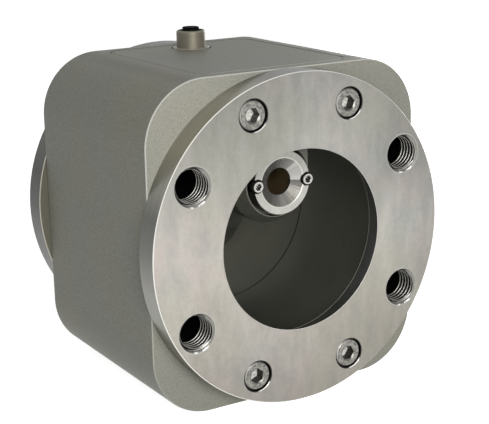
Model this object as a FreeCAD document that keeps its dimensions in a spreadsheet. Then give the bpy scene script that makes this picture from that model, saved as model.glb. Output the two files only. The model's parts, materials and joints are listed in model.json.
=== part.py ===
import FreeCAD, Part
import math
import os
import re
import Sketcher

# In-line oil quality sensor: a square block with a round flow bore, a bolting flange at each end,
# and a probe that hangs in the bore from the roof and samples the oil through a small tube.
# Millimetres. X runs across the flow, Y along it (front at -Y), Z up.
# The origin is the middle of the block's flat base.

# Driving dimensions: alias, value, what it is.
SIZES = (
    ("port_spacing_x", 106.38, "port bolt rectangle, across"),
    ("port_spacing_z", 61.93, "port bolt rectangle, up"),
    ("port_thread_diameter", 16, "port bolt thread"),
    ("port_thread_chamfer", 0.45, "countersink of the port threads"),
    ("port_relief_clearance", 0.75, "hole behind the port threads, wider each side, in the block"),
    ("port_relief_depth", 20, "depth of that hole"),
    ("flange_rim_wall", 2.953, "flange metal outside the port threads"),
    ("flange_thickness", 12, "each flange"),
    ("flange_mouth_diameter", 79.4, "flange bore at its outer face"),
    ("flange_edge_chamfer", 0.3, "outer edge of each flange"),
    ("flange_back_chamfer", 0.35, "edge of each flange against the block"),
    ("flange_mouth_chamfer", 0.15, "edge of the flange bore"),
    ("port_side_wall", 5.91, "block outside those holes"),
    ("body_length", 101.4, "block along the flow"),
    ("body_corner_radius", 27.6, "long corners of the block"),
    ("body_edge_chamfer", 0.45, "end edges of the block"),
    ("bore_diameter", 88.8, "flow bore through the block"),
    ("bore_edge_chamfer", 0.4, "ends of the flow bore in the block"),
    ("witness_offset", 4.1, "place of the fine line in the bore, from the middle"),
    ("witness_width", 0.4, "width of that line"),
    ("witness_depth", 0.2, "depth of that line"),
    ("cap_screw_angle", 67, "flange cap screws, angle above the bore axis"),
    ("cap_thread_diameter", 8, "flange cap screws, thread"),
    ("cap_head_diameter", 12.8, "flange cap screws, head"),
    ("cap_head_height", 8, "flange cap screws, head"),
    ("cap_head_chamfer", 0.6, "flange cap screws, head edge"),
    ("cap_socket_flats", 6, "flange cap screws, hexagon socket"),
    ("cap_socket_depth", 5, "flange cap screws, hexagon socket"),
    ("cap_screw_length", 16, "flange cap screws, under the head"),
    ("cap_head_recess", 0.55, "how far the heads lie below the flange face"),
    ("cap_head_clearance", 0.5, "counterbore wider than the head, each side"),
    ("cap_sink_chamfer", 0.3, "edge of the counterbores"),
    ("cap_hole_clearance", 0.4, "flange hole wider than the thread, each side"),
    ("tapped_hole_extra", 2, "tapped holes deeper than their screws"),
    ("thread_clearance", 0.05, "tapped holes wider than their screws, each side"),
    ("face_seal_wall", 2.7, "metal between the bore and the flange seal groove"),
    ("face_seal_cord", 3, "flange seal ring, cord"),
    ("groove_side_clearance", 0.4, "seal grooves wider than the cord, each side"),
    ("groove_depth_clearance", 0.05, "seal grooves deeper than the cord"),
    ("cover_width", 75.8, "cover plate, across"),
    ("cover_end_wall", 6.3, "metal between the cover plate and the block's end faces"),
    ("cover_corner_radius", 8, "cover plate corners"),
    ("cover_thickness", 4.5, "cover plate"),
    ("cover_edge_chamfer", 0.35, "upper edge of the cover plate"),
    ("cover_gap", 0.3, "seam round the cover plate"),
    ("cover_side_ledge", 5.9, "ledge under the cover plate, beside the electronics pocket"),
    ("cover_end_ledge", 14.4, "ledge under the cover plate, ahead of and behind that pocket"),
    ("cavity_floor_wall", 5, "metal between the bore and the electronics pocket"),
    ("tail_pocket_width", 24, "pocket under the plug connector, across"),
    ("tail_pocket_gap", 0.6, "that pocket past the connector nut"),
    ("gasket_inset", 0.8, "gasket inside the cover's outline"),
    ("gasket_width", 1.8, "gasket section, across"),
    ("gasket_height", 1.5, "gasket section, up"),
    ("gasket_clearance", 0.1, "gasket groove wider than the gasket, each side"),
    ("grub_spacing", 12, "cover grub screws, apart"),
    ("grub_thread_diameter", 3, "cover grub screws, thread"),
    ("grub_engagement", 2, "how far a grub screw enters the cover's edge"),
    ("grub_setback", 0.4, "grub screw below the block's end face"),
    ("grub_socket_flats", 1.5, "grub screw socket"),
    ("grub_socket_depth", 1.5, "grub screw socket"),
    ("pod_radius", 19.9, "probe pod"),
    ("pod_roof_gap", 2.3, "probe pod below the bore's roof"),
    ("pod_setback", 7.7, "ends of the pod inside the block's end faces"),
    ("pod_nose_length", 6.5, "tapered nose of the pod, along"),
    ("pod_nose_rim", 0.3, "rim of the nose round the open ring"),
    ("pod_recess_gap", 1.4, "open ring round each nozzle"),
    ("pod_recess_depth", 4, "depth of that ring"),
    ("pod_fit", 0.02, "strut head below the bore's roof"),
    ("neck_radius", 7, "cable neck that passes the bore's roof"),
    ("neck_fit", 0.05, "hole for the neck, wider each side"),
    ("neck_setback", 0.2, "neck below the pocket floor"),
    ("neck_seal_cord", 1.5, "seal ring on the neck"),
    ("lead_passage_radius", 3, "hole for the coil leads"),
    ("lead_radius", 1.5, "bundle of coil leads"),
    ("lead_slot_clearance", 0.6, "holes wider than the leads"),
    ("carrier_spacing_x", 20, "strut screws, across"),
    ("carrier_end_gap", 8, "strut screws to the pocket's end walls"),
    ("carrier_thread_diameter", 4, "strut screws, thread"),
    ("carrier_head_diameter", 7, "strut screws, head"),
    ("carrier_head_height", 3.6, "strut screws, head"),
    ("carrier_socket_flats", 3, "strut screws, socket"),
    ("carrier_socket_depth", 2, "strut screws, socket"),
    ("carrier_screw_length", 13, "strut screws, under the head"),
    ("carrier_hole_clearance", 0.2, "block hole wider than the strut screw, each side"),
    ("nozzle_radius", 14.25, "nozzle ring"),
    ("nozzle_projection", 4.05, "nozzle ring in front of the pod"),
    ("nozzle_edge_chamfer", 0.3, "nozzle ring edge"),
    ("nozzle_entry_radius", 10.9, "mouth of the entry cone"),
    ("nozzle_entry_depth", 3.05, "depth of the entry cone"),
    ("nozzle_land", 1.2, "straight hole behind the cone"),
    ("nozzle_spigot_length", 6, "spigot in the pod's bore"),
    ("spigot_fit", 0.05, "pod bore wider than what it holds, each side"),
    ("spigot_seal_cord", 1.2, "seal ring on the spigot"),
    ("nozzle_screw_inset", 1.45, "nozzle screws inside the ring's edge"),
    ("nozzle_screw_thread", 3, "nozzle screws, thread"),
    ("nozzle_head_diameter", 5, "nozzle screws, head"),
    ("nozzle_head_height", 3, "nozzle screws, head"),
    ("nozzle_head_chamfer", 0.25, "nozzle screws, head edge"),
    ("nozzle_socket_flats", 2.5, "nozzle screws, socket"),
    ("nozzle_socket_depth", 1.6, "nozzle screws, socket"),
    ("nozzle_screw_length", 10, "nozzle screws, under the head"),
    ("nozzle_head_sink", 2, "depth of the nozzle screws' counterbores"),
    ("nozzle_head_clearance", 0.6, "counterbore wider than the head, each side"),
    ("nozzle_hole_clearance", 0.15, "nozzle hole wider than the thread, each side"),
    ("tube_bore_radius", 6.05, "measuring tube, inside"),
    ("tube_wall", 1.25, "measuring tube"),
    ("tube_fit", 0.05, "what slides on the tube, wider each side"),
    ("tube_end_gap", 0.2, "tube end to the nozzle's shoulder"),
    ("tube_seal_cord", 1, "seal ring on the tube"),
    ("bobbin_core_wall", 0.8, "coil bobbin, under the windings"),
    ("bobbin_collar", 2, "coil bobbin collars, along"),
    ("bobbin_end_gap", 0.2, "bobbin end to the nozzle's spigot"),
    ("winding_clearance", 0.1, "windings to the bobbin"),
    ("winding_depth", 0.95, "windings, radially"),
    ("winding_rim", 0.25, "windings below the collars"),
    ("sleeve_wall", 0.3, "shield sleeve"),
    ("sleeve_fit", 0.1, "shield sleeve round the bobbin, wider each side"),
    ("board_side_gap", 5, "circuit board to the pocket's side walls"),
    ("board_end_gap", 3, "circuit board to the pocket's end walls"),
    ("board_thickness", 1.6, "circuit board"),
    ("board_hole_inset", 3.5, "board screws from the board's edges"),
    ("board_tongue_width", 14, "board tongue under the connector, across"),
    ("board_tongue_margin", 2, "board tongue past the contacts"),
    ("standoff_radius", 2.75, "board standoffs"),
    ("standoff_height", 4.4, "board standoffs"),
    ("standoff_stud_length", 3.5, "stud under each standoff"),
    ("board_screw_thread", 3, "board screws and standoff studs"),
    ("board_screw_length", 4, "board screws, under the head"),
    ("board_screw_head_radius", 2.6, "board screws, head"),
    ("board_screw_head_height", 1.6, "board screws, head"),
    ("board_hole_clearance", 0.2, "board hole wider than its screw, each side"),
    ("processor_side", 12, "main chip"),
    ("processor_height", 1.4, "main chip"),
    ("chip_width", 5, "small chips, across"),
    ("chip_length", 8, "small chips, along"),
    ("chip_height", 1.5, "small chips"),
    ("chip_spacing", 14, "small chips, apart"),
    ("chip_edge_distance", 13, "small chips to the board's front edge"),
    ("capacitor_radius", 3, "capacitors"),
    ("capacitor_headroom", 2.5, "capacitors below the cover plate"),
    ("header_width", 8, "plug of the coil leads, across"),
    ("header_length", 6, "plug of the coil leads, along"),
    ("header_height", 3, "plug of the coil leads"),
    ("connector_end_distance", 12.9, "connector axis to the cover plate's rear edge"),
    ("connector_side_offset", 0.9, "connector axis to the right of the middle"),
    ("shell_radius", 6.8, "connector shell"),
    ("shell_height", 8.3, "connector shell above the cover"),
    ("shell_rounding", 0.9, "upper edge of the shell"),
    ("shell_flange_radius", 8.7, "connector flange, let into the cover"),
    ("shell_flange_thickness", 1.8, "connector flange below the cover's top"),
    ("shell_flange_rise", 0.3, "connector flange above the cover's top"),
    ("shell_flange_edge", 0.2, "edge of the connector flange"),
    ("shell_flange_gap", 0.7, "open groove round the connector flange"),
    ("shell_tail_radius", 6, "threaded tail of the connector"),
    ("shell_tail_fit", 0.1, "cover hole wider than the tail, each side"),
    ("shell_tail_end", 0.5, "tail past its nut"),
    ("shell_lip", 1, "shell over the insert's collar"),
    ("connector_seal_cord", 0.8, "seal ring under the connector flange"),
    ("nut_flats", 14, "connector nut"),
    ("nut_thickness", 3, "connector nut"),
    ("gland_radius", 5.7, "rubber ring round the insert, in the mouth of the shell"),
    ("gland_thickness", 1.2, "that ring"),
    ("gland_recess", 0.15, "that ring below the shell's end"),
    ("insert_radius", 3.95, "contact insert"),
    ("insert_projection", 1.5, "insert above the shell"),
    ("insert_rounding", 0.5, "upper edge of the insert"),
    ("insert_collar_width", 1, "collar of the insert"),
    ("insert_fit", 0.05, "shell wider than the insert, each side"),
    ("contact_radius", 0.5, "contacts"),
    ("contact_circle_radius", 2.4, "circle of the outer contacts"),
    ("contact_sink", 1, "contacts below the insert's top"),
    ("contact_clearance", 0.05, "holes wider than the contacts, each side"),
    ("screw_tip_chamfer", 0.3, "tips of the screws"),
    ("socket_lead", 0.06, "countersink of the screw sockets past the hexagon, share of its flats"),
)
NAMES = {name for name, _, _ in SIZES}

doc = FreeCAD.newDocument("OilQualitySensor")
sheet = doc.addObject("Spreadsheet::Sheet", "Sizes")
for row, (name, size, meaning) in enumerate(SIZES, start=1):
    sheet.set("A%d" % row, name)
    sheet.set("B%d" % row, str(size))
    sheet.set("C%d" % row, meaning)
    sheet.setAlias("B%d" % row, name)
doc.recompute()

# Places and sizes worked out from the driving dimensions.
PITCH_RADIUS = "(sqrt(port_spacing_x ^ 2 + port_spacing_z ^ 2) / 2)"
FLANGE_RADIUS = f"({PITCH_RADIUS} + port_thread_diameter / 2 + flange_rim_wall)"
AXIS = FLANGE_RADIUS
TOP = f"(2 * {FLANGE_RADIUS})"
BORE_RADIUS = "(bore_diameter / 2)"
END = "(body_length / 2)"
PORT_RELIEF_RADIUS = "(port_thread_diameter / 2 + port_relief_clearance)"
SIDE = f"(port_spacing_x / 2 + {PORT_RELIEF_RADIUS} + port_side_wall)"
FACE_SEAL_RADIUS = f"({BORE_RADIUS} + face_seal_wall + groove_side_clearance + face_seal_cord / 2)"
COVER_END = f"({END} - cover_end_wall)"
COVER_SEAT = f"({TOP} - cover_thickness)"
CAVITY_FLOOR = f"({AXIS} + {BORE_RADIUS} + cavity_floor_wall)"
CAVITY_DEPTH = f"({COVER_SEAT} - {CAVITY_FLOOR})"
CAVITY_SIDE = "(cover_width / 2 - cover_side_ledge)"
CAVITY_END = f"({COVER_END} - cover_end_ledge)"
CAP_X = f"({PITCH_RADIUS} * cos(cap_screw_angle * 1deg))"
CAP_Z = f"({PITCH_RADIUS} * sin(cap_screw_angle * 1deg))"
CAP_SINK = "(cap_head_height + cap_head_recess)"
PROBE_AXIS = f"({AXIS} + {BORE_RADIUS} - pod_roof_gap - pod_radius)"
POD_END = f"({END} - pod_setback)"
POD_NOSE_INSET = "(pod_radius - nozzle_radius - pod_recess_gap - pod_nose_rim)"
CARRIER_X = "(carrier_spacing_x / 2)"
CARRIER_Y = f"({CAVITY_END} - carrier_end_gap)"
NOZZLE_FACE = f"({POD_END} + nozzle_projection)"
NOZZLE_SEAT = f"({POD_END} - pod_recess_depth)"
NOZZLE_SCREW_X = "(nozzle_radius - nozzle_screw_inset)"
SPIGOT_END = f"({NOZZLE_SEAT} - nozzle_spigot_length)"
TUBE_RADIUS = "(tube_bore_radius + tube_wall)"
SOCKET_RADIUS = f"({TUBE_RADIUS} + tube_fit)"
SOCKET_END = f"({NOZZLE_FACE} - nozzle_entry_depth - nozzle_land)"
TUBE_END = f"({SOCKET_END} - tube_end_gap)"
BOBBIN_END = f"({SPIGOT_END} - bobbin_end_gap)"
BOBBIN_CORE = f"({SOCKET_RADIUS} + bobbin_core_wall)"
WINDING_INNER = f"({BOBBIN_CORE} + winding_clearance)"
WINDING_RADIUS = f"({WINDING_INNER} + winding_depth)"
COLLAR_RADIUS = f"({WINDING_RADIUS} + winding_rim)"
SLEEVE_INNER = f"({COLLAR_RADIUS} + sleeve_fit)"
SPIGOT_RADIUS = f"({SLEEVE_INNER} + sleeve_wall)"
POD_BORE_RADIUS = f"({SPIGOT_RADIUS} + spigot_fit)"
WINDING_LENGTH = f"((2 * {BOBBIN_END} - 4 * bobbin_collar) / 3)"
BOARD_SEAT = f"({CAVITY_FLOOR} + standoff_height)"
BOARD_TOP = f"({BOARD_SEAT} + board_thickness)"
BOARD_SIDE = f"({CAVITY_SIDE} - board_side_gap)"
BOARD_END = f"({CAVITY_END} - board_end_gap)"
BOARD_HOLE_X = f"({BOARD_SIDE} - board_hole_inset)"
BOARD_HOLE_Y = f"({BOARD_END} - board_hole_inset)"
CONNECTOR_Y = f"({COVER_END} - connector_end_distance)"
TAIL_POCKET_END = f"({CONNECTOR_Y} + nut_flats / sqrt(3) + tail_pocket_gap)"
TONGUE_END = f"({CONNECTOR_Y} + contact_circle_radius + board_tongue_margin)"
TAIL_END = "(cover_thickness + nut_thickness + shell_tail_end)"
COLLAR_OUTER = "(insert_radius + insert_collar_width)"
INSERT_TOP = "(shell_height + insert_projection)"
GLAND_SEAT = "(shell_height - gland_recess - gland_thickness)"
GRUB_Z = f"({TOP} - cover_thickness / 2)"
GRUB_LENGTH = "(cover_end_wall - grub_setback + grub_engagement)"

# Two measures this close, in millimetres, are the same.
SAME = 0.001

X_AXIS = FreeCAD.Vector(1, 0, 0)
Y_AXIS = FreeCAD.Vector(0, 1, 0)
Z_AXIS = FreeCAD.Vector(0, 0, 1)
UPRIGHT = FreeCAD.Rotation()
TO_FRONT = FreeCAD.Rotation(X_AXIS, 90)
TO_REAR = FreeCAD.Rotation(Z_AXIS, 180) * TO_FRONT
SIDES = (("front", "-", TO_FRONT), ("rear", "", TO_REAR))
parts = []


def bound(expression):
    """The expression with each driving dimension read from the sheet."""
    def cell(word):
        return "Sizes." + word.group() if word.group() in NAMES else word.group()
    return re.sub(r"[a-z][a-z_0-9]*", cell, expression)


def value(expression):
    """The expression's number."""
    return float(sheet.evalExpression(bound(expression)))


def bind(item, prop, expression):
    """Drive a property of an object by an expression."""
    item.setExpression(prop, bound(expression))


def place(item, x="0", y="0", z="0", turn=UPRIGHT):
    """Set an object's place, each coordinate an expression."""
    item.Placement = FreeCAD.Placement(FreeCAD.Vector(), turn)
    for axis, expression in (("x", x), ("y", y), ("z", z)):
        bind(item, "Placement.Base." + axis, expression)
    return item


def keep(item, label):
    """Name an object as a piece of the sensor."""
    item.Label = label
    parts.append(item)
    return item


def new_body(name):
    """A PartDesign body."""
    return doc.addObject("PartDesign::Body", name)


def sketch(body, role, lift="0", rise="0"):
    """A sketch on one of the body's origin planes, moved along its normal and up in its plane."""
    made = body.newObject("Sketcher::SketchObject", body.Name + "_sketch")
    plane = next(item for item in body.Origin.OriginFeatures if item.Role == role)
    made.AttachmentSupport = (plane, "")
    made.MapMode = "FlatFace"
    bind(made, "AttachmentOffset.Base.z", lift)
    bind(made, "AttachmentOffset.Base.y", rise)
    return made


def constrain(made, kind, geometry, point, expression):
    """Hold a sketch point at a bound distance from the sketch's origin."""
    index = made.addConstraint(Sketcher.Constraint(kind, -1, 1, geometry, point, value(expression)))
    made.setExpression("Constraints[%d]" % index, bound(expression))


def polygon(made, corners):
    """A closed outline through corners given as pairs of expressions."""
    first = made.GeometryCount
    spots = [FreeCAD.Vector(value(x), value(y), 0) for x, y in corners]
    count = len(corners)
    for i in range(count):
        made.addGeometry(Part.LineSegment(spots[i], spots[(i + 1) % count]))
    for i, (x, y) in enumerate(corners):
        made.addConstraint(Sketcher.Constraint("Coincident", first + i, 2, first + (i + 1) % count, 1))
        constrain(made, "DistanceX", first + i, 1, x)
        constrain(made, "DistanceY", first + i, 1, y)
    return made


def circles(made, radius, centres=(("0", "0"),)):
    """Circles of one radius about centres given as pairs of expressions."""
    for x, y in centres:
        spot = FreeCAD.Vector(value(x), value(y), 0)
        index = made.addGeometry(Part.Circle(spot, Z_AXIS, value(radius)))
        constrain(made, "DistanceX", index, 3, x)
        constrain(made, "DistanceY", index, 3, y)
        size = made.addConstraint(Sketcher.Constraint("Radius", index, value(radius)))
        made.setExpression("Constraints[%d]" % size, bound(radius))
    return made


def rounded_rectangle(made, half_x, half_y, radius):
    """A rectangle about the sketch's origin with round corners."""
    first = made.GeometryCount
    hx, hy, r = value(half_x), value(half_y), value(radius)
    for quarter, (x, y) in enumerate(((1, -1), (1, 1), (-1, 1), (-1, -1))):
        centre = FreeCAD.Vector(x * (hx - r), y * (hy - r), 0)
        start = (quarter - 1) * math.pi / 2
        made.addGeometry(Part.ArcOfCircle(Part.Circle(centre, Z_AXIS, r), start, start + math.pi / 2))
    for i in range(4):
        here = made.getPoint(first + i, 2)
        there = made.getPoint(first + (i + 1) % 4, 1)
        made.addGeometry(Part.LineSegment(here, there))
    for i in range(4):
        made.addConstraint(Sketcher.Constraint("Tangent", first + i, 2, first + 4 + i, 1))
        made.addConstraint(Sketcher.Constraint("Tangent", first + 4 + i, 2, first + (i + 1) % 4, 1))
    for i in range(3):
        made.addConstraint(Sketcher.Constraint("Equal", first, first + 1 + i))
    size = made.addConstraint(Sketcher.Constraint("Radius", first, r))
    made.setExpression("Constraints[%d]" % size, bound(radius))
    for side in (4, 6):
        made.addConstraint(Sketcher.Constraint("Vertical", first + side))
    for side in (5, 7):
        made.addConstraint(Sketcher.Constraint("Horizontal", first + side))
    constrain(made, "DistanceX", first + 4, 1, half_x)
    constrain(made, "DistanceX", first + 6, 1, f"-{half_x}")
    constrain(made, "DistanceY", first + 5, 1, half_y)
    constrain(made, "DistanceY", first + 7, 1, f"-{half_y}")
    return made


def four(x, y):
    """The four corners of a rectangle about the origin."""
    return [(x, y), (f"-{x}", y), (x, f"-{y}"), (f"-{x}", f"-{y}")]


def hexagon(made, flats):
    """A regular hexagon about the sketch's origin."""
    tip = f"({flats} / sqrt(3))"
    half = f"({flats} / sqrt(3) / 2)"
    flat = f"({flats} / 2)"
    corners = [(tip, "0"), (half, flat), (f"-{half}", flat), (f"-{tip}", "0")]
    return polygon(made, corners + [(f"-{half}", f"-{flat}"), (half, f"-{flat}")])


def pad(body, profile, length, both=False, back=False):
    """Material along the sketch's normal, on both sides of it or against it."""
    made = body.newObject("PartDesign::Pad", body.Name + "_pad")
    made.Profile = profile
    made.SideType = "Symmetric" if both else "One side"
    made.Reversed = back
    bind(made, "Length", length)
    return made


def pocket(body, profile, depth, both=False, back=False):
    """A cut against the sketch's normal, on both sides of it or along it."""
    made = body.newObject("PartDesign::Pocket", body.Name + "_pocket")
    made.Profile = profile
    made.SideType = "Symmetric" if both else "One side"
    made.Reversed = back
    bind(made, "Length", depth)
    return made


def turned(name, profile):
    """A body turned about its own Z axis from (radius, height) corners."""
    body = new_body(name)
    outline = polygon(sketch(body, "XZ_Plane"), profile)
    made = body.newObject("PartDesign::Revolution", name + "_turn")
    made.Profile = outline
    made.ReferenceAxis = (outline, ["V_Axis"])
    made.Angle = 360
    return body


def edges(body, wanted):
    """The names of the body's edges for which wanted(edge) is true."""
    doc.recompute()
    tip = body.Tip
    return tip, ["Edge%d" % n for n, edge in enumerate(tip.Shape.Edges, start=1) if wanted(edge)]


def fillet(body, radius, wanted):
    """Round the body's wanted edges."""
    made_base = edges(body, wanted)
    made = body.newObject("PartDesign::Fillet", body.Name + "_fillet")
    made.Base = made_base
    bind(made, "Radius", radius)
    return made


def chamfer(body, size, wanted):
    """Break the body's wanted edges."""
    made_base = edges(body, wanted)
    made = body.newObject("PartDesign::Chamfer", body.Name + "_chamfer")
    made.Base = made_base
    bind(made, "Size", size)
    return made


def mirror_ends(body, features):
    """Repeat features of the front end at the rear end."""
    made = body.newObject("PartDesign::Mirrored", body.Name + "_rear")
    made.Originals = features
    made.MirrorPlane = (next(f for f in body.Origin.OriginFeatures if f.Role == "XZ_Plane"), [""])
    body.Tip = made
    return made


def flat_at(edge, axis, level):
    """Whether an edge lies in the plane at this level of an axis."""
    low = getattr(edge.BoundBox, axis + "Min")
    high = getattr(edge.BoundBox, axis + "Max")
    return abs(low - level) < SAME and abs(high - level) < SAME


def circle_of(edge, radius):
    """Whether an edge lies on a circle of this radius."""
    return isinstance(edge.Curve, Part.Circle) and abs(edge.Curve.Radius - radius) < SAME


def ring_seal(label, radius, cord, x="0", y="0", z="0", turn=UPRIGHT):
    """A round-cord seal ring."""
    ring = doc.addObject("Part::Torus", label)
    bind(ring, "Radius1", radius)
    bind(ring, "Radius2", f"{cord} / 2")
    return keep(place(ring, x, y, z, turn), label)


def cap_screw(name, thread, head, height, length, flats, depth, edge):
    """A socket head cap screw that stands on its seat, head up."""
    radius = f"({thread} / 2 - thread_clearance)"
    mouth = f"({flats} * (1 / sqrt(3) + socket_lead))"
    screw = turned(name, [
        ("0", f"-{length}"),
        (f"{radius} - screw_tip_chamfer", f"-{length}"),
        (radius, f"screw_tip_chamfer - {length}"),
        (radius, "0"),
        (f"{head} / 2", "0"),
        (f"{head} / 2", f"{height} - {edge}"),
        (f"{head} / 2 - {edge}", height),
        (mouth, height),
        ("0", f"{height} - {mouth} * tan(30deg)"),
    ])
    pocket(screw, hexagon(sketch(screw, "XY_Plane", lift=height), flats), depth)
    return screw


def mirrored(source, name, normal, level="0"):
    """A copy of a solid on the other side of a plane."""
    made = doc.addObject("Part::Mirroring", name)
    made.Source = source
    made.Normal = normal
    bind(made, "Base.z", level)
    return made


def group(label, items):
    """Separate solids kept together as one piece name."""
    made = doc.addObject("Part::Compound", label)
    made.Links = items
    return keep(made, label)


def cylinder(name, radius, height, x="0", y="0", z="0", turn=UPRIGHT):
    """A round bar."""
    made = doc.addObject("Part::Cylinder", name)
    bind(made, "Radius", radius)
    bind(made, "Height", height)
    return place(made, x, y, z, turn)


def block(name, length, width, height, x, y, z):
    """A rectangular block about (x, y) that stands on z."""
    made = doc.addObject("Part::Box", name)
    bind(made, "Length", length)
    bind(made, "Width", width)
    bind(made, "Height", height)
    return place(made, f"{x} - {length} / 2", f"{y} - {width} / 2", z)


# Block: a rounded square bar, bored along the flow, with the electronics pocket in its roof.

def make_block():
    body = new_body("Block")
    outline = polygon(sketch(body, "XZ_Plane"), [
        (f"-{SIDE}", "0"),
        (SIDE, "0"),
        (SIDE, TOP),
        (f"-{SIDE}", TOP),
    ])
    pad(body, outline, "body_length", both=True)
    length = value("body_length")
    fillet(body, "body_corner_radius", lambda edge: abs(edge.BoundBox.YLength - length) < SAME)
    end = value(END)
    chamfer(body, "body_edge_chamfer", lambda edge: flat_at(edge, "Y", -end) or flat_at(edge, "Y", end))
    pocket(body, circles(sketch(body, "XZ_Plane"), BORE_RADIUS, [("0", AXIS)]), "body_length", both=True)
    bore = value(BORE_RADIUS)
    chamfer(body, "bore_edge_chamfer", lambda edge: circle_of(edge, bore))

    line = body.newObject("PartDesign::Groove", "Block_witness")
    line.Profile = polygon(sketch(body, "YZ_Plane", rise=AXIS), [
        ("witness_offset - witness_width / 2", f"{BORE_RADIUS} - witness_depth"),
        ("witness_offset + witness_width / 2", f"{BORE_RADIUS} - witness_depth"),
        ("witness_offset + witness_width / 2", f"{BORE_RADIUS} + witness_depth"),
        ("witness_offset - witness_width / 2", f"{BORE_RADIUS} + witness_depth"),
    ])
    line.ReferenceAxis = (line.Profile[0], ["H_Axis"])
    line.Angle = 360

    seal_half = "(face_seal_cord / 2 + groove_side_clearance)"
    groove = sketch(body, "XZ_Plane", lift=END, rise=AXIS)
    circles(groove, f"{FACE_SEAL_RADIUS} - {seal_half}")
    circles(groove, f"{FACE_SEAL_RADIUS} + {seal_half}")
    tapped = circles(
        sketch(body, "XZ_Plane", lift=END, rise=AXIS),
        "cap_thread_diameter / 2",
        four(CAP_X, CAP_Z),
    )
    relief = circles(
        sketch(body, "XZ_Plane", lift=END, rise=AXIS),
        PORT_RELIEF_RADIUS,
        four("(port_spacing_x / 2)", "(port_spacing_z / 2)"),
    )
    grub = circles(
        sketch(body, "XZ_Plane", lift=END, rise=GRUB_Z),
        "grub_thread_diameter / 2",
        [("grub_spacing / 2", "0"), ("-grub_spacing / 2", "0")],
    )
    ends = [
        pocket(body, groove, "face_seal_cord + groove_depth_clearance"),
        pocket(body, tapped, f"cap_screw_length - flange_thickness + {CAP_SINK} + tapped_hole_extra"),
        pocket(body, relief, "port_relief_depth"),
        pocket(body, grub, "cover_end_wall + grub_engagement"),
    ]
    mirror_ends(body, ends)

    seat = rounded_rectangle(
        sketch(body, "XY_Plane", lift=TOP),
        "(cover_width / 2 + cover_gap)",
        f"({COVER_END} + cover_gap)",
        "(cover_corner_radius + cover_gap)",
    )
    pocket(body, seat, "cover_thickness")
    cavity = rounded_rectangle(
        sketch(body, "XY_Plane", lift=COVER_SEAT),
        CAVITY_SIDE,
        CAVITY_END,
        "cover_corner_radius",
    )
    pocket(body, cavity, CAVITY_DEPTH)
    tail = polygon(sketch(body, "XY_Plane", lift=COVER_SEAT), [
        ("-tail_pocket_width / 2", "0"),
        ("tail_pocket_width / 2", "0"),
        ("tail_pocket_width / 2", TAIL_POCKET_END),
        ("-tail_pocket_width / 2", TAIL_POCKET_END),
    ])
    pocket(body, tail, CAVITY_DEPTH)
    gasket = sketch(body, "XY_Plane", lift=COVER_SEAT)
    gasket_outline(gasket, "gasket_inset - gasket_clearance")
    gasket_outline(gasket, "gasket_inset + gasket_width + gasket_clearance")
    pocket(body, gasket, "gasket_height")
    floor_holes = (
        ("neck_radius + neck_fit", [("0", "0")], BORE_RADIUS),
        (
            "carrier_thread_diameter / 2 + carrier_hole_clearance",
            four(CARRIER_X, CARRIER_Y),
            BORE_RADIUS,
        ),
        (
            "board_screw_thread / 2",
            four(BOARD_HOLE_X, BOARD_HOLE_Y),
            "standoff_stud_length + tapped_hole_extra / 2",
        ),
    )
    for radius, centres, depth in floor_holes:
        pocket(body, circles(sketch(body, "XY_Plane", lift=CAVITY_FLOOR), radius, centres), depth)
    return keep(body, "body")


def gasket_outline(made, inset):
    """The cover's outline, moved inwards."""
    return rounded_rectangle(
        made,
        f"(cover_width / 2 - ({inset}))",
        f"({COVER_END} - ({inset}))",
        f"(cover_corner_radius - ({inset}))",
    )


def make_gasket():
    body = new_body("Gasket")
    outline = sketch(body, "XY_Plane", lift=f"{COVER_SEAT} - gasket_height")
    gasket_outline(outline, "gasket_inset")
    gasket_outline(outline, "gasket_inset + gasket_width")
    pad(body, outline, "gasket_height")
    return keep(body, "cover_gasket")


# Cover plate: flush in the roof, held by grub screws that the flanges hide.

def make_cover():
    body = new_body("Cover")
    outline = rounded_rectangle(
        sketch(body, "XY_Plane", lift=COVER_SEAT),
        "(cover_width / 2)",
        COVER_END,
        "cover_corner_radius",
    )
    pad(body, outline, "cover_thickness")
    top = value(TOP)
    chamfer(body, "cover_edge_chamfer", lambda edge: flat_at(edge, "Z", top))
    centre = [("connector_side_offset", CONNECTOR_Y)]
    seat = circles(sketch(body, "XY_Plane", lift=TOP), "shell_flange_radius + shell_flange_gap", centre)
    pocket(body, seat, "shell_flange_thickness")
    hole = circles(sketch(body, "XY_Plane", lift=TOP), "shell_tail_radius + shell_tail_fit", centre)
    pocket(body, hole, "cover_thickness")
    groove = sketch(body, "XY_Plane", lift=f"{TOP} - shell_flange_thickness")
    circles(groove, connector_seal_edge("-"), centre)
    circles(groove, connector_seal_edge("+"), centre)
    pocket(body, groove, "connector_seal_cord + groove_depth_clearance")
    dimples = circles(
        sketch(body, "XZ_Plane", lift=COVER_END, rise=GRUB_Z),
        "grub_thread_diameter / 2",
        [("grub_spacing / 2", "0"), ("-grub_spacing / 2", "0")],
    )
    mirror_ends(body, [pocket(body, dimples, "grub_engagement")])
    return keep(body, "cover_plate")


CONNECTOR_SEAL_RADIUS = "((shell_tail_radius + shell_flange_radius) / 2)"


def connector_seal_edge(sign):
    """One edge of the seal groove under the connector's flange."""
    return f"({CONNECTOR_SEAL_RADIUS} {sign} (connector_seal_cord / 2 + groove_side_clearance / 2))"


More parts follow.
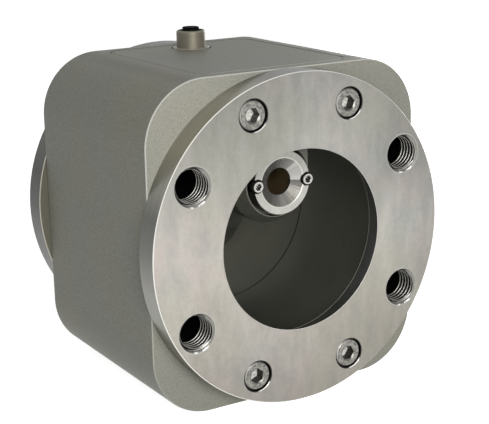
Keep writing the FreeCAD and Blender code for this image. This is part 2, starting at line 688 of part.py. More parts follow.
def make_grub_screws():
    radius = "(grub_thread_diameter / 2 - thread_clearance)"
    screws = []
    for side, sign, turn in SIDES:
        screw = turned("Grub_" + side, [
            ("0", "0"),
            (f"{radius} - screw_tip_chamfer", "0"),
            (radius, "screw_tip_chamfer"),
            (radius, GRUB_LENGTH),
            ("0", GRUB_LENGTH),
        ])
        socket = hexagon(sketch(screw, "XY_Plane", lift=GRUB_LENGTH), "grub_socket_flats")
        pocket(screw, socket, "grub_socket_depth")
        place(screw, "grub_spacing / 2", f"{sign}({COVER_END} - grub_engagement)", GRUB_Z, turn)
        screws += [screw, mirrored(screw, "Grub_pair_" + side, X_AXIS)]
    return group("cover_grub_screws", screws)


# Flanges: turned rings, conical inside, with the port threads and their own cap screws.

def make_flange(side, sign, turn):
    mouth = "(flange_mouth_diameter / 2)"
    body = turned("Flange_" + side, [
        (BORE_RADIUS, "0"),
        (f"{FLANGE_RADIUS} - flange_back_chamfer", "0"),
        (FLANGE_RADIUS, "flange_back_chamfer"),
        (FLANGE_RADIUS, "flange_thickness - flange_edge_chamfer"),
        (f"{FLANGE_RADIUS} - flange_edge_chamfer", "flange_thickness"),
        (f"{mouth} + flange_mouth_chamfer", "flange_thickness"),
        (mouth, "flange_thickness - flange_mouth_chamfer"),
    ])
    port_centres = four("(port_spacing_x / 2)", "(port_spacing_z / 2)")
    cap_centres = four(CAP_X, CAP_Z)
    sink = "(cap_head_diameter / 2 + cap_head_clearance)"
    cuts = (
        ("port_thread_diameter / 2", port_centres, "flange_thickness"),
        ("cap_thread_diameter / 2 + cap_hole_clearance", cap_centres, "flange_thickness"),
        (sink, cap_centres, CAP_SINK),
    )
    for radius, centres, depth in cuts:
        pocket(body, circles(sketch(body, "XY_Plane", lift="flange_thickness"), radius, centres), depth)
    thickness = value("flange_thickness")
    for size, radius in (("port_thread_chamfer", "port_thread_diameter / 2"), ("cap_sink_chamfer", sink)):
        wanted = value(radius)
        chamfer(body, size, lambda edge: flat_at(edge, "Z", thickness) and circle_of(edge, wanted))
    place(body, y=f"{sign}{END}", z=AXIS, turn=turn)
    return keep(body, side + "_flange")


# How each cap screw came to rest: degrees that its socket is turned.
CAP_TURNS = (12, 0, -3, 22)


def make_flange_fastening(side, sign, turn):
    screws = []
    for number, (x, z) in enumerate(four(CAP_X, CAP_Z)):
        screw = cap_screw(
            "Cap_%s_%d" % (side, number), "cap_thread_diameter", "cap_head_diameter", "cap_head_height",
            "cap_screw_length", "cap_socket_flats", "cap_socket_depth", "cap_head_chamfer",
        )
        seat = f"{sign}({END} + flange_thickness - {CAP_SINK})"
        spun = turn * FreeCAD.Rotation(Z_AXIS, CAP_TURNS[number])
        screws.append(place(screw, x, seat, f"{AXIS} + {z}", spun))
    group(side + "_flange_cap_screws", screws)
    ring_seal(
        side + "_flange_seal", FACE_SEAL_RADIUS, "face_seal_cord",
        y=f"{sign}({END} - face_seal_cord / 2 - groove_depth_clearance / 2)", z=AXIS, turn=turn,
    )


# Probe: a pod on a broad strut, hung from the bore's roof, with a nozzle at each end.

def make_pod():
    body = new_body("Pod")
    outline = sketch(body, "XZ_Plane")
    radius = value("pod_radius")
    axis = value(PROBE_AXIS)
    head = value(TOP)
    centre = FreeCAD.Vector(0, axis, 0)
    arc = outline.addGeometry(Part.ArcOfCircle(Part.Circle(centre, Z_AXIS, radius), math.pi, 2 * math.pi))
    corners = [(radius, axis), (radius, head), (-radius, head), (-radius, axis)]
    spots = [FreeCAD.Vector(x, y, 0) for x, y in corners]
    right, roof, left = [outline.addGeometry(Part.LineSegment(spots[i], spots[i + 1])) for i in range(3)]
    outline.addConstraint(Sketcher.Constraint("Tangent", arc, 2, right, 1))
    outline.addConstraint(Sketcher.Constraint("Coincident", right, 2, roof, 1))
    outline.addConstraint(Sketcher.Constraint("Coincident", roof, 2, left, 1))
    outline.addConstraint(Sketcher.Constraint("Tangent", left, 2, arc, 1))
    outline.addConstraint(Sketcher.Constraint("Vertical", right))
    outline.addConstraint(Sketcher.Constraint("Vertical", left))
    outline.addConstraint(Sketcher.Constraint("Horizontal", roof))
    constrain(outline, "DistanceX", arc, 3, "0")
    constrain(outline, "DistanceY", arc, 3, PROBE_AXIS)
    constrain(outline, "DistanceX", right, 1, "pod_radius")
    constrain(outline, "DistanceY", roof, 1, TOP)
    pad(body, outline, f"2 * {POD_END}", both=True)
    end = value(POD_END)
    roof_level = value(TOP)
    for level in (-end, end):
        nose = chamfer(body, "pod_nose_length", lambda edge: (
            flat_at(edge, "Y", level) and not flat_at(edge, "Z", roof_level)
        ))
        nose.ChamferType = "Two distances"
        bind(nose, "Size2", POD_NOSE_INSET)
    return body


def make_carrier():
    roof = cylinder("Carrier_roof", f"{BORE_RADIUS} - pod_fit", "body_length", y=END, z=AXIS, turn=TO_FRONT)
    hung = doc.addObject("Part::Common", "Carrier_hung")
    hung.Base = make_pod()
    hung.Tool = roof
    neck = cylinder(
        "Carrier_neck", "neck_radius", f"{CAVITY_FLOOR} - neck_setback - {PROBE_AXIS} - {POD_BORE_RADIUS}",
        z=f"{PROBE_AXIS} + {POD_BORE_RADIUS}",
    )
    solid = doc.addObject("Part::Fuse", "Carrier_solid")
    solid.Base = hung
    solid.Tool = neck

    thread = "(nozzle_screw_thread / 2)"
    cuts = [
        cylinder("Carrier_bore", POD_BORE_RADIUS, f"2 * {POD_END}", y=POD_END, z=PROBE_AXIS, turn=TO_FRONT),
        cylinder("Carrier_passage", "lead_passage_radius", f"{TOP} - {PROBE_AXIS}", z=PROBE_AXIS),
    ]
    for side, sign, turn in SIDES:
        cuts.append(cylinder(
            "Carrier_recess_" + side, "nozzle_radius + pod_recess_gap", "pod_recess_depth",
            y=f"{sign}{NOZZLE_SEAT}", z=PROBE_AXIS, turn=turn,
        ))
        depth = f"({SCREW_REACH} + tapped_hole_extra / 2)"
        for hand in ("", "-"):
            cuts.append(cylinder(
                "Carrier_thread_" + side + ("_left" if hand else "_right"), thread, depth,
                x=hand + NOZZLE_SCREW_X, y=f"{sign}({NOZZLE_SEAT} - {depth})", z=PROBE_AXIS, turn=turn,
            ))
    carrier_depth = "(carrier_screw_length + tapped_hole_extra / 2)"
    for i, (x, y) in enumerate(four(CARRIER_X, CARRIER_Y)):
        cuts.append(cylinder(
            "Carrier_tapped_%d" % i, "carrier_thread_diameter / 2", carrier_depth,
            x=x, y=y, z=f"{CAVITY_FLOOR} - {carrier_depth}",
        ))
    groove = turned("Carrier_groove", [
        (NECK_SEAL_FLOOR, f"-{NECK_SEAL_HALF}"),
        ("neck_radius + neck_fit", f"-{NECK_SEAL_HALF}"),
        ("neck_radius + neck_fit", NECK_SEAL_HALF),
        (NECK_SEAL_FLOOR, NECK_SEAL_HALF),
    ])
    cuts.append(place(groove, z=NECK_SEAL_Z))
    tools = doc.addObject("Part::MultiFuse", "Carrier_tools")
    tools.Shapes = cuts
    made = doc.addObject("Part::Cut", "Carrier")
    made.Base = solid
    made.Tool = tools
    return keep(made, "probe_carrier")


NECK_SEAL_FLOOR = "(neck_radius + neck_fit - neck_seal_cord - groove_depth_clearance)"
NECK_SEAL_HALF = "(neck_seal_cord / 2 + groove_side_clearance / 2)"
NECK_SEAL_Z = f"({CAVITY_FLOOR} - cavity_floor_wall / 2)"
SCREW_REACH = f"(nozzle_screw_length + nozzle_head_sink - ({NOZZLE_FACE} - {NOZZLE_SEAT}))"


def make_carrier_fastening():
    screw = cap_screw(
        "Strut_screw", "carrier_thread_diameter", "carrier_head_diameter", "carrier_head_height",
        "carrier_screw_length", "carrier_socket_flats", "carrier_socket_depth", "screw_tip_chamfer",
    )
    place(screw, CARRIER_X, CARRIER_Y, CAVITY_FLOOR)
    across = mirrored(screw, "Strut_screw_across", X_AXIS)
    ahead = [mirrored(item, item.Name + "_ahead", Y_AXIS) for item in (screw, across)]
    group("probe_carrier_screws", [screw, across] + ahead)
    ring_seal(
        "probe_neck_seal", "neck_radius + neck_fit - neck_seal_cord / 2 - groove_depth_clearance / 2",
        "neck_seal_cord", z=NECK_SEAL_Z,
    )


# Nozzles: turned steel rings; heights are measured along the probe axis from its middle.

SPIGOT_SEAL_PLACE = f"({SPIGOT_END} + nozzle_spigot_length / 2)"
SPIGOT_SEAL_HALF = "(spigot_seal_cord / 2 + groove_side_clearance / 4)"
TUBE_SEAL_PLACE = f"(({NOZZLE_SEAT} + {SOCKET_END}) / 2)"
TUBE_SEAL_HALF = "(tube_seal_cord / 2 + groove_side_clearance / 4)"


def make_nozzle(side, sign, turn):
    spigot_floor = f"({POD_BORE_RADIUS} - spigot_seal_cord - groove_depth_clearance)"
    socket_floor = f"({TUBE_RADIUS} + tube_seal_cord + groove_depth_clearance)"
    body = turned("Nozzle_" + side, [
        (SOCKET_RADIUS, SPIGOT_END),
        (SPIGOT_RADIUS, SPIGOT_END),
        (SPIGOT_RADIUS, f"{SPIGOT_SEAL_PLACE} - {SPIGOT_SEAL_HALF}"),
        (spigot_floor, f"{SPIGOT_SEAL_PLACE} - {SPIGOT_SEAL_HALF}"),
        (spigot_floor, f"{SPIGOT_SEAL_PLACE} + {SPIGOT_SEAL_HALF}"),
        (SPIGOT_RADIUS, f"{SPIGOT_SEAL_PLACE} + {SPIGOT_SEAL_HALF}"),
        (SPIGOT_RADIUS, NOZZLE_SEAT),
        ("nozzle_radius", NOZZLE_SEAT),
        ("nozzle_radius", f"{NOZZLE_FACE} - nozzle_edge_chamfer"),
        ("nozzle_radius - nozzle_edge_chamfer", NOZZLE_FACE),
        ("nozzle_entry_radius", NOZZLE_FACE),
        ("tube_bore_radius", f"{NOZZLE_FACE} - nozzle_entry_depth"),
        ("tube_bore_radius", SOCKET_END),
        (SOCKET_RADIUS, SOCKET_END),
        (SOCKET_RADIUS, f"{TUBE_SEAL_PLACE} + {TUBE_SEAL_HALF}"),
        (socket_floor, f"{TUBE_SEAL_PLACE} + {TUBE_SEAL_HALF}"),
        (socket_floor, f"{TUBE_SEAL_PLACE} - {TUBE_SEAL_HALF}"),
        (SOCKET_RADIUS, f"{TUBE_SEAL_PLACE} - {TUBE_SEAL_HALF}"),
    ])
    pair = [(NOZZLE_SCREW_X, "0"), ("-" + NOZZLE_SCREW_X, "0")]
    cuts = (
        ("nozzle_head_diameter / 2 + nozzle_head_clearance", "nozzle_head_sink"),
        ("nozzle_screw_thread / 2 + nozzle_hole_clearance", f"{NOZZLE_FACE} - {NOZZLE_SEAT}"),
    )
    for radius, depth in cuts:
        pocket(body, circles(sketch(body, "XY_Plane", lift=NOZZLE_FACE), radius, pair), depth)
    place(body, z=PROBE_AXIS, turn=turn)
    keep(body, side + "_nozzle")

    screw = cap_screw(
        "Nozzle_screw_" + side, "nozzle_screw_thread", "nozzle_head_diameter", "nozzle_head_height",
        "nozzle_screw_length", "nozzle_socket_flats", "nozzle_socket_depth", "nozzle_head_chamfer",
    )
    place(screw, NOZZLE_SCREW_X, f"{sign}({NOZZLE_FACE} - nozzle_head_sink)", PROBE_AXIS, turn)
    group(side + "_nozzle_screws", [screw, mirrored(screw, "Nozzle_screw_pair_" + side, X_AXIS)])
    ring_seal(
        side + "_nozzle_seal", f"{POD_BORE_RADIUS} - spigot_seal_cord / 2 - groove_depth_clearance / 2",
        "spigot_seal_cord", y=f"{sign}{SPIGOT_SEAL_PLACE}", z=PROBE_AXIS, turn=turn,
    )
    ring_seal(
        side + "_tube_seal", f"{TUBE_RADIUS} + tube_seal_cord / 2 + groove_depth_clearance / 2",
        "tube_seal_cord", y=f"{sign}{TUBE_SEAL_PLACE}", z=PROBE_AXIS, turn=turn,
    )


# Measuring tube with its coils: everything here lies along the probe axis.

def along_probe(body, label):
    """Lay a turned piece along the probe axis."""
    return keep(place(body, z=PROBE_AXIS, turn=TO_REAR), label)


def ring_profile(inner, outer, low, high):
    """The section of a plain tube."""
    return [(inner, low), (outer, low), (outer, high), (inner, high)]


def collar_start(number):
    """Where a collar of the bobbin starts, counted from the front."""
    return f"(-{BOBBIN_END} + {number} * (bobbin_collar + {WINDING_LENGTH}))"


def make_coil():
    tube = turned("Tube", ring_profile("tube_bore_radius", TUBE_RADIUS, f"-{TUBE_END}", TUBE_END))
    along_probe(tube, "measuring_tube")
    profile = [(SOCKET_RADIUS, BOBBIN_END), (SOCKET_RADIUS, f"-{BOBBIN_END}")]
    for number in range(4):
        start = collar_start(number)
        stop = f"({start} + bobbin_collar)"
        if number > 0:
            profile.append((BOBBIN_CORE, start))
        profile += [(COLLAR_RADIUS, start), (COLLAR_RADIUS, stop)]
        if number < 3:
            profile.append((BOBBIN_CORE, stop))
    along_probe(turned("Bobbin", profile), "coil_bobbin")
    for number, label in enumerate(("front_sense_winding", "drive_winding", "rear_sense_winding")):
        low = f"({collar_start(number)} + bobbin_collar + winding_clearance)"
        high = f"({collar_start(number + 1)} - winding_clearance)"
        section = ring_profile(WINDING_INNER, WINDING_RADIUS, low, high)
        along_probe(turned("Winding_%d" % number, section), label)
    sleeve = turned("Sleeve_tube", ring_profile(SLEEVE_INNER, SPIGOT_RADIUS, f"-{BOBBIN_END}", BOBBIN_END))
    place(sleeve, z=PROBE_AXIS, turn=TO_REAR)
    slot = cylinder("Sleeve_slot", "lead_radius + lead_slot_clearance", POD_BORE_RADIUS, z=PROBE_AXIS)
    shield = doc.addObject("Part::Cut", "Sleeve")
    shield.Base = sleeve
    shield.Tool = slot
    keep(shield, "shield_sleeve")
    leads = cylinder(
        "Leads", "lead_radius",
        f"{BOARD_SEAT} - header_height - {PROBE_AXIS} - {WINDING_RADIUS} - winding_clearance",
        z=f"{PROBE_AXIS} + {WINDING_RADIUS} + winding_clearance",
    )
    keep(leads, "coil_leads")


# Electronics in the roof pocket.

def make_board():
    body = new_body("Board")
    tongue = "board_tongue_width / 2"
    outline = polygon(sketch(body, "XY_Plane", lift=BOARD_SEAT), [
        (f"-{BOARD_SIDE}", f"-{BOARD_END}"),
        (BOARD_SIDE, f"-{BOARD_END}"),
        (BOARD_SIDE, BOARD_END),
        (tongue, BOARD_END),
        (tongue, TONGUE_END),
        (f"-{tongue}", TONGUE_END),
        (f"-{tongue}", BOARD_END),
        (f"-{BOARD_SIDE}", BOARD_END),
    ])
    pad(body, outline, "board_thickness")
    screws = circles(
        sketch(body, "XY_Plane", lift=BOARD_TOP),
        "board_screw_thread / 2 + board_hole_clearance",
        four(BOARD_HOLE_X, BOARD_HOLE_Y),
    )
    pocket(body, screws, "board_thickness")
    pins = circles(
        sketch(body, "XY_Plane", lift=BOARD_TOP),
        "contact_radius + contact_clearance",
        contact_places(),
    )
    pocket(body, pins, "board_thickness")
    return keep(body, "circuit_board")


def contact_places():
    """One contact on the connector's axis and four round it."""
    reach = "(contact_circle_radius / sqrt(2))"
    places = [("0", "0")] + four(reach, reach)
    return [(f"connector_side_offset + {x}", f"{CONNECTOR_Y} + {y}") for x, y in places]


def four_round(label, seed):
    """A seed at the right rear and its copies at the other three corners."""
    across = mirrored(seed, seed.Name + "_across", X_AXIS)
    ahead = [mirrored(item, item.Name + "_ahead", Y_AXIS) for item in (seed, across)]
    return group(label, [seed, across] + ahead)


def make_board_fastening():
    stud = "(board_screw_thread / 2 - thread_clearance)"
    hole = "(board_screw_thread / 2)"
    standoff = turned("Standoff", [
        ("0", "-standoff_stud_length"),
        (stud, "-standoff_stud_length"),
        (stud, "0"),
        ("standoff_radius", "0"),
        ("standoff_radius", "standoff_height"),
        (hole, "standoff_height"),
        (hole, "standoff_height + board_thickness - board_screw_length - tapped_hole_extra / 4"),
        ("0", "standoff_height + board_thickness - board_screw_length - tapped_hole_extra / 4"),
    ])
    four_round("board_standoffs", place(standoff, BOARD_HOLE_X, BOARD_HOLE_Y, CAVITY_FLOOR))
    screw = turned("Board_screw", [
        ("0", "-board_screw_length"),
        (stud, "-board_screw_length"),
        (stud, "0"),
        ("board_screw_head_radius", "0"),
        ("board_screw_head_radius", "board_screw_head_height"),
        ("0", "board_screw_head_height"),
    ])
    pocket(
        screw, hexagon(sketch(screw, "XY_Plane", lift="board_screw_head_height"), "board_screw_head_height"),
        "board_screw_head_height / 2",
    )
    four_round("board_screws", place(screw, BOARD_HOLE_X, BOARD_HOLE_Y, BOARD_TOP))


def make_board_parts():
    keep(block(
        "Processor", "processor_side", "processor_side", "processor_height", "0", "0", BOARD_TOP,
    ), "processor_chip")
    row = f"-({BOARD_END} - chip_edge_distance)"
    chips = []
    for i, x in enumerate(("-chip_spacing", "0", "chip_spacing")):
        name = "Chip_%d" % i
        chips.append(block(name, "chip_width", "chip_length", "chip_height", x, row, BOARD_TOP))
    group("signal_chips", chips)
    height = f"({COVER_SEAT} - {BOARD_TOP} - capacitor_headroom)"
    can = cylinder("Capacitor", "capacitor_radius", height, "chip_spacing", "chip_spacing / 2", BOARD_TOP)
    group("filter_capacitors", [can, mirrored(can, "Capacitor_pair", X_AXIS)])
    keep(block(
        "Header", "header_width", "header_length", "header_height", "0", "0", f"{BOARD_SEAT} - header_height",
    ), "coil_lead_header")


# Plug connector: heights are measured from the top of the cover plate.

def at_connector(body, label):
    """Stand a piece on the connector's axis."""
    return keep(place(body, x="connector_side_offset", y=CONNECTOR_Y, z=TOP), label)


def make_connector():
    bore = "(insert_radius + insert_fit)"
    wide = f"({COLLAR_OUTER} + insert_fit)"
    shell = turned("Shell", [
        (bore, "-shell_lip"),
        (wide, "-shell_lip"),
        (wide, f"-{TAIL_END}"),
        ("shell_tail_radius", f"-{TAIL_END}"),
        ("shell_tail_radius", "-shell_flange_thickness"),
        ("shell_flange_radius", "-shell_flange_thickness"),
        ("shell_flange_radius", "shell_flange_rise - shell_flange_edge"),
        ("shell_flange_radius - shell_flange_edge", "shell_flange_rise"),
        ("shell_radius", "shell_flange_rise"),
        ("shell_radius", "shell_height"),
        ("gland_radius + insert_fit", "shell_height"),
        ("gland_radius + insert_fit", GLAND_SEAT),
        (bore, GLAND_SEAT),
    ])
    height, radius = value("shell_height"), value("shell_radius")
    fillet(shell, "shell_rounding", lambda edge: flat_at(edge, "Z", height) and circle_of(edge, radius))
    at_connector(shell, "connector_shell")
    gland = turned("Gland", ring_profile(bore, "gland_radius", GLAND_SEAT, "shell_height - gland_recess"))
    at_connector(gland, "connector_gland")

    insert = turned("Insert", [
        ("0", f"-{TAIL_END}"),
        (COLLAR_OUTER, f"-{TAIL_END}"),
        (COLLAR_OUTER, "-shell_lip"),
        ("insert_radius", "-shell_lip"),
        ("insert_radius", INSERT_TOP),
        ("0", INSERT_TOP),
    ])
    top = value(INSERT_TOP)
    fillet(insert, "insert_rounding", lambda edge: flat_at(edge, "Z", top))
    reach = "(contact_circle_radius / sqrt(2))"
    holes = circles(
        sketch(insert, "XY_Plane", lift=INSERT_TOP),
        "contact_radius + contact_clearance",
        [("0", "0")] + four(reach, reach),
    )
    pocket(insert, holes, f"{INSERT_TOP} + {TAIL_END}")
    at_connector(insert, "connector_insert")

    length = f"({TOP} + {INSERT_TOP} - contact_sink - {BOARD_SEAT})"
    pins = [
        cylinder("Contact_%d" % i, "contact_radius", length, x, y, BOARD_SEAT)
        for i, (x, y) in enumerate(contact_places())
    ]
    group("connector_contacts", pins)
    ring_seal(
        "connector_seal", CONNECTOR_SEAL_RADIUS, "connector_seal_cord",
        "connector_side_offset", CONNECTOR_Y,
        f"{TOP} - shell_flange_thickness - connector_seal_cord / 2 - groove_depth_clearance / 2",
    )
    nut = new_body("Nut")
    outline = hexagon(sketch(nut, "XY_Plane", lift="-cover_thickness"), "nut_flats")
    circles(outline, "shell_tail_radius + shell_tail_fit")
    pad(nut, outline, "nut_thickness", back=True)
    at_connector(nut, "connector_nut")


def check():
    """Stop if an object failed or a piece has no sound shape."""
    doc.recompute()
    failed = [item.Name for item in doc.Objects if {"Invalid", "Error"} & set(item.State)]
    for item in parts:
        if item.Shape.isNull() or not item.Shape.isValid() or not item.Shape.Solids:
            failed.append(item.Label)
    if failed:
        raise RuntimeError("failed: " + ", ".join(failed))


make_block()
make_cover()
make_gasket()
make_grub_screws()
for side, sign, turn in SIDES:
    make_flange(side, sign, turn)
    make_flange_fastening(side, sign, turn)
make_carrier()
make_carrier_fastening()
for side, sign, turn in SIDES:
    make_nozzle(side, sign, turn)
make_coil()
make_board()
make_board_fastening()
make_board_parts()
make_connector()
check()

os.makedirs("parts", exist_ok=True)
for item in parts:
    item.Shape.exportStep("parts/%s.step" % item.Label)
    print("%-26s solids %d volume %10.1f" % (item.Label, len(item.Shape.Solids), item.Shape.Volume))
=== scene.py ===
import json
import math

import bmesh
import bpy
from mathutils import Matrix, Vector


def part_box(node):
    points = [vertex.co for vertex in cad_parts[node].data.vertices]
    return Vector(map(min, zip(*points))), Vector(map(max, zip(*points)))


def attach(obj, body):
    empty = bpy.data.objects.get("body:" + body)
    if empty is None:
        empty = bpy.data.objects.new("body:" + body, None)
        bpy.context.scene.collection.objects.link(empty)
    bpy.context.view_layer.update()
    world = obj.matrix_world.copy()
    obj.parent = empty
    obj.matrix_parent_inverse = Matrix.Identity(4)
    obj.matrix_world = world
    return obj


# The looks of an in-line oil quality sensor: finishes for the solids of the frame, and the thread
# ridges of its port holes. X runs across the flow, Y along it (front at -Y), Z up. Camera, floor and
# lamps are placed in metres. Sizes and places on the part are millimetres.

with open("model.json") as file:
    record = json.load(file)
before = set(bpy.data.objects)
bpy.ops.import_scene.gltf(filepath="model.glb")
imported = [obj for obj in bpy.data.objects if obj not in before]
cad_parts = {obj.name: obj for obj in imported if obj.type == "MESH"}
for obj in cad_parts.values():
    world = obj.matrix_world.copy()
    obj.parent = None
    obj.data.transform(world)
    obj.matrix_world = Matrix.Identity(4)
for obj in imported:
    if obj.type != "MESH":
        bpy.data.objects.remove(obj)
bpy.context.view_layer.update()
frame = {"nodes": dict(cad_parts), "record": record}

MM = 0.001

# The camera, as the photograph was taken.
IMAGE_WIDTH = 489
FOCAL_PIXELS = 1284.2
SENSOR = 36.0
CAMERA_AZIMUTH = math.radians(-31.577)
CAMERA_ELEVATION = math.radians(14.936)
CAMERA_ROLL = math.radians(-1.147)
CAMERA_DISTANCE = 604.7 * MM
CAMERA_TARGET = Vector((9.3, 0, 69.95)) * MM

# Floor and light.
WORLD_STRENGTH = 0.16
FLOOR_SIZE = 40.0
FLOOR_GREY = 0.8
FLOOR_GLOW = 0.87
LAMP_SIZE = 0.5
KEY_LAMP = (-0.22, -0.95, 0.36)
KEY_POWER = 8.6
SIDE_LAMP = (0.85, 0.6, 0.1)
SIDE_POWER = 7.0

# Corners of the nodes that the finishes follow, in the frame's metres.
FLANGE_LOW, FLANGE_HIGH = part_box("front_flange")
_, BODY_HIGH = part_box("body")
NOZZLE_LOW, NOZZLE_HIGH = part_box("front_nozzle")
_, CARRIER_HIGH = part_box("probe_carrier")
COVER_LOW, COVER_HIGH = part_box("cover_plate")

# Places of the flanges, the block and the bore. Rim, edges and groove say how wide each is coloured.
FLANGE_RADIUS = (FLANGE_HIGH.x - FLANGE_LOW.x) / 2 / MM
FLANGE_RIM = 0.8
BORE_AXIS = (FLANGE_HIGH.z + FLANGE_LOW.z) / 2 / MM
BORE_RADIUS = 44.4
BORE_EDGE = 0.45
GROOVE_PLACE = 4.1
GROOVE_HALF_WIDTH = 0.35
FACE = -FLANGE_LOW.y / MM
BLOCK_END = BODY_HIGH.y / MM
JOINT_EDGE = 0.5

# Places of the cover plate and of the connector on it: the gap round the plate, how far the painted
# shade on its walls and on the roof beside it reaches, where it stops short of the corners, and the
# connector's flange.
ROOF = BODY_HIGH.z / MM
COVER_X = COVER_HIGH.x / MM
COVER_Y = COVER_HIGH.y / MM
COVER_UNDERSIDE = COVER_LOW.z / MM
COVER_GAP = 0.3
SEAM_WALL = 0.5
SEAM_SIDE = 0.35
SEAM_CORNER = 4
CONNECTOR_FLANGE = 0.3

# Places of the probe: its axis, the nozzle's entry cone and screws, the pod's nose and the open ring,
# and how far the painted shadow reaches past it.
PROBE_AXIS = (NOZZLE_HIGH.z + NOZZLE_LOW.z) / 2 / MM
NOZZLE_RADIUS = NOZZLE_HIGH.x / MM
NOZZLE_MOUTH = 10.9
NOZZLE_SCREW_X = 12.8
NOZZLE_SINK = 3.1
NOSE = CARRIER_HIGH.y / MM
NOSE_RIM = 0.3
NOSE_RECESS = 15.65
NOSE_SHADE = 0.6

# Port threads: M16 with a pitch of 2 mm, on the standard bolt rectangle. A ridge starts at the top of a
# front port and at the bottom of a rear one. It fades over a share of a turn at both ends.
PORT_X = 106.38 / 2
PORT_Z = 61.93 / 2
PORT_RELIEF = 8.75
THREAD_PITCH = 2
THREAD_ROOT = 8
THREAD_CREST = 6.92
THREAD_OVERLAP = 0.01
THREAD_STEPS = 56
THREAD_START = -math.pi / 2
THREAD_FADE = 1 / 8

# The painted rings round the ports' mouths: radius, depth above and at the bottom, and white painted
# highlights, each with its direction from the port's axis and the cosine within which it lies.
MOUTH_RADIUS = 8.9
MOUTH_DEPTHS = (0.85, 1.5)
MOUTH_HIGHLIGHTS = (((0.46, 0, -0.888), 0.982), ((-0.1, 0, -0.995), 0.998))

# Cap screws on the ports' circle: radius of the counterbore and of its edge, of the head's flat, of
# the socket's lead and floor, and how deep below the face a floor lies at least.
CAP_ANGLE = math.radians(67)
CAP_X = math.hypot(PORT_X, PORT_Z) * math.cos(CAP_ANGLE)
CAP_Z = math.hypot(PORT_X, PORT_Z) * math.sin(CAP_ANGLE)
CAP_SINK = 6.9
CAP_EDGE = CAP_SINK + 0.4
CAP_FLAT = 6.0
CAP_LEAD = 3.8
CAP_FLOOR = 3.4
FLOOR_DEPTH = 3

# The nozzle's screws: radius of the head and of the lead and floor of the socket.
SMALL_HEAD = 3
SMALL_LEAD = 1.65
SMALL_FLOOR = 1.2

# The direction that sets the painted highlights and painted shade on the edges of holes and sockets.
PAINTED_LIGHT_DIRECTION = (-0.5, 0, 0.87)

# Screws along Z, for which the finish of the screws along the flow isn't made.
UPRIGHT_SCREWS = ("probe_carrier_screws", "board_screws")


def grey(level):
    """A neutral colour."""
    return (level, level, level)


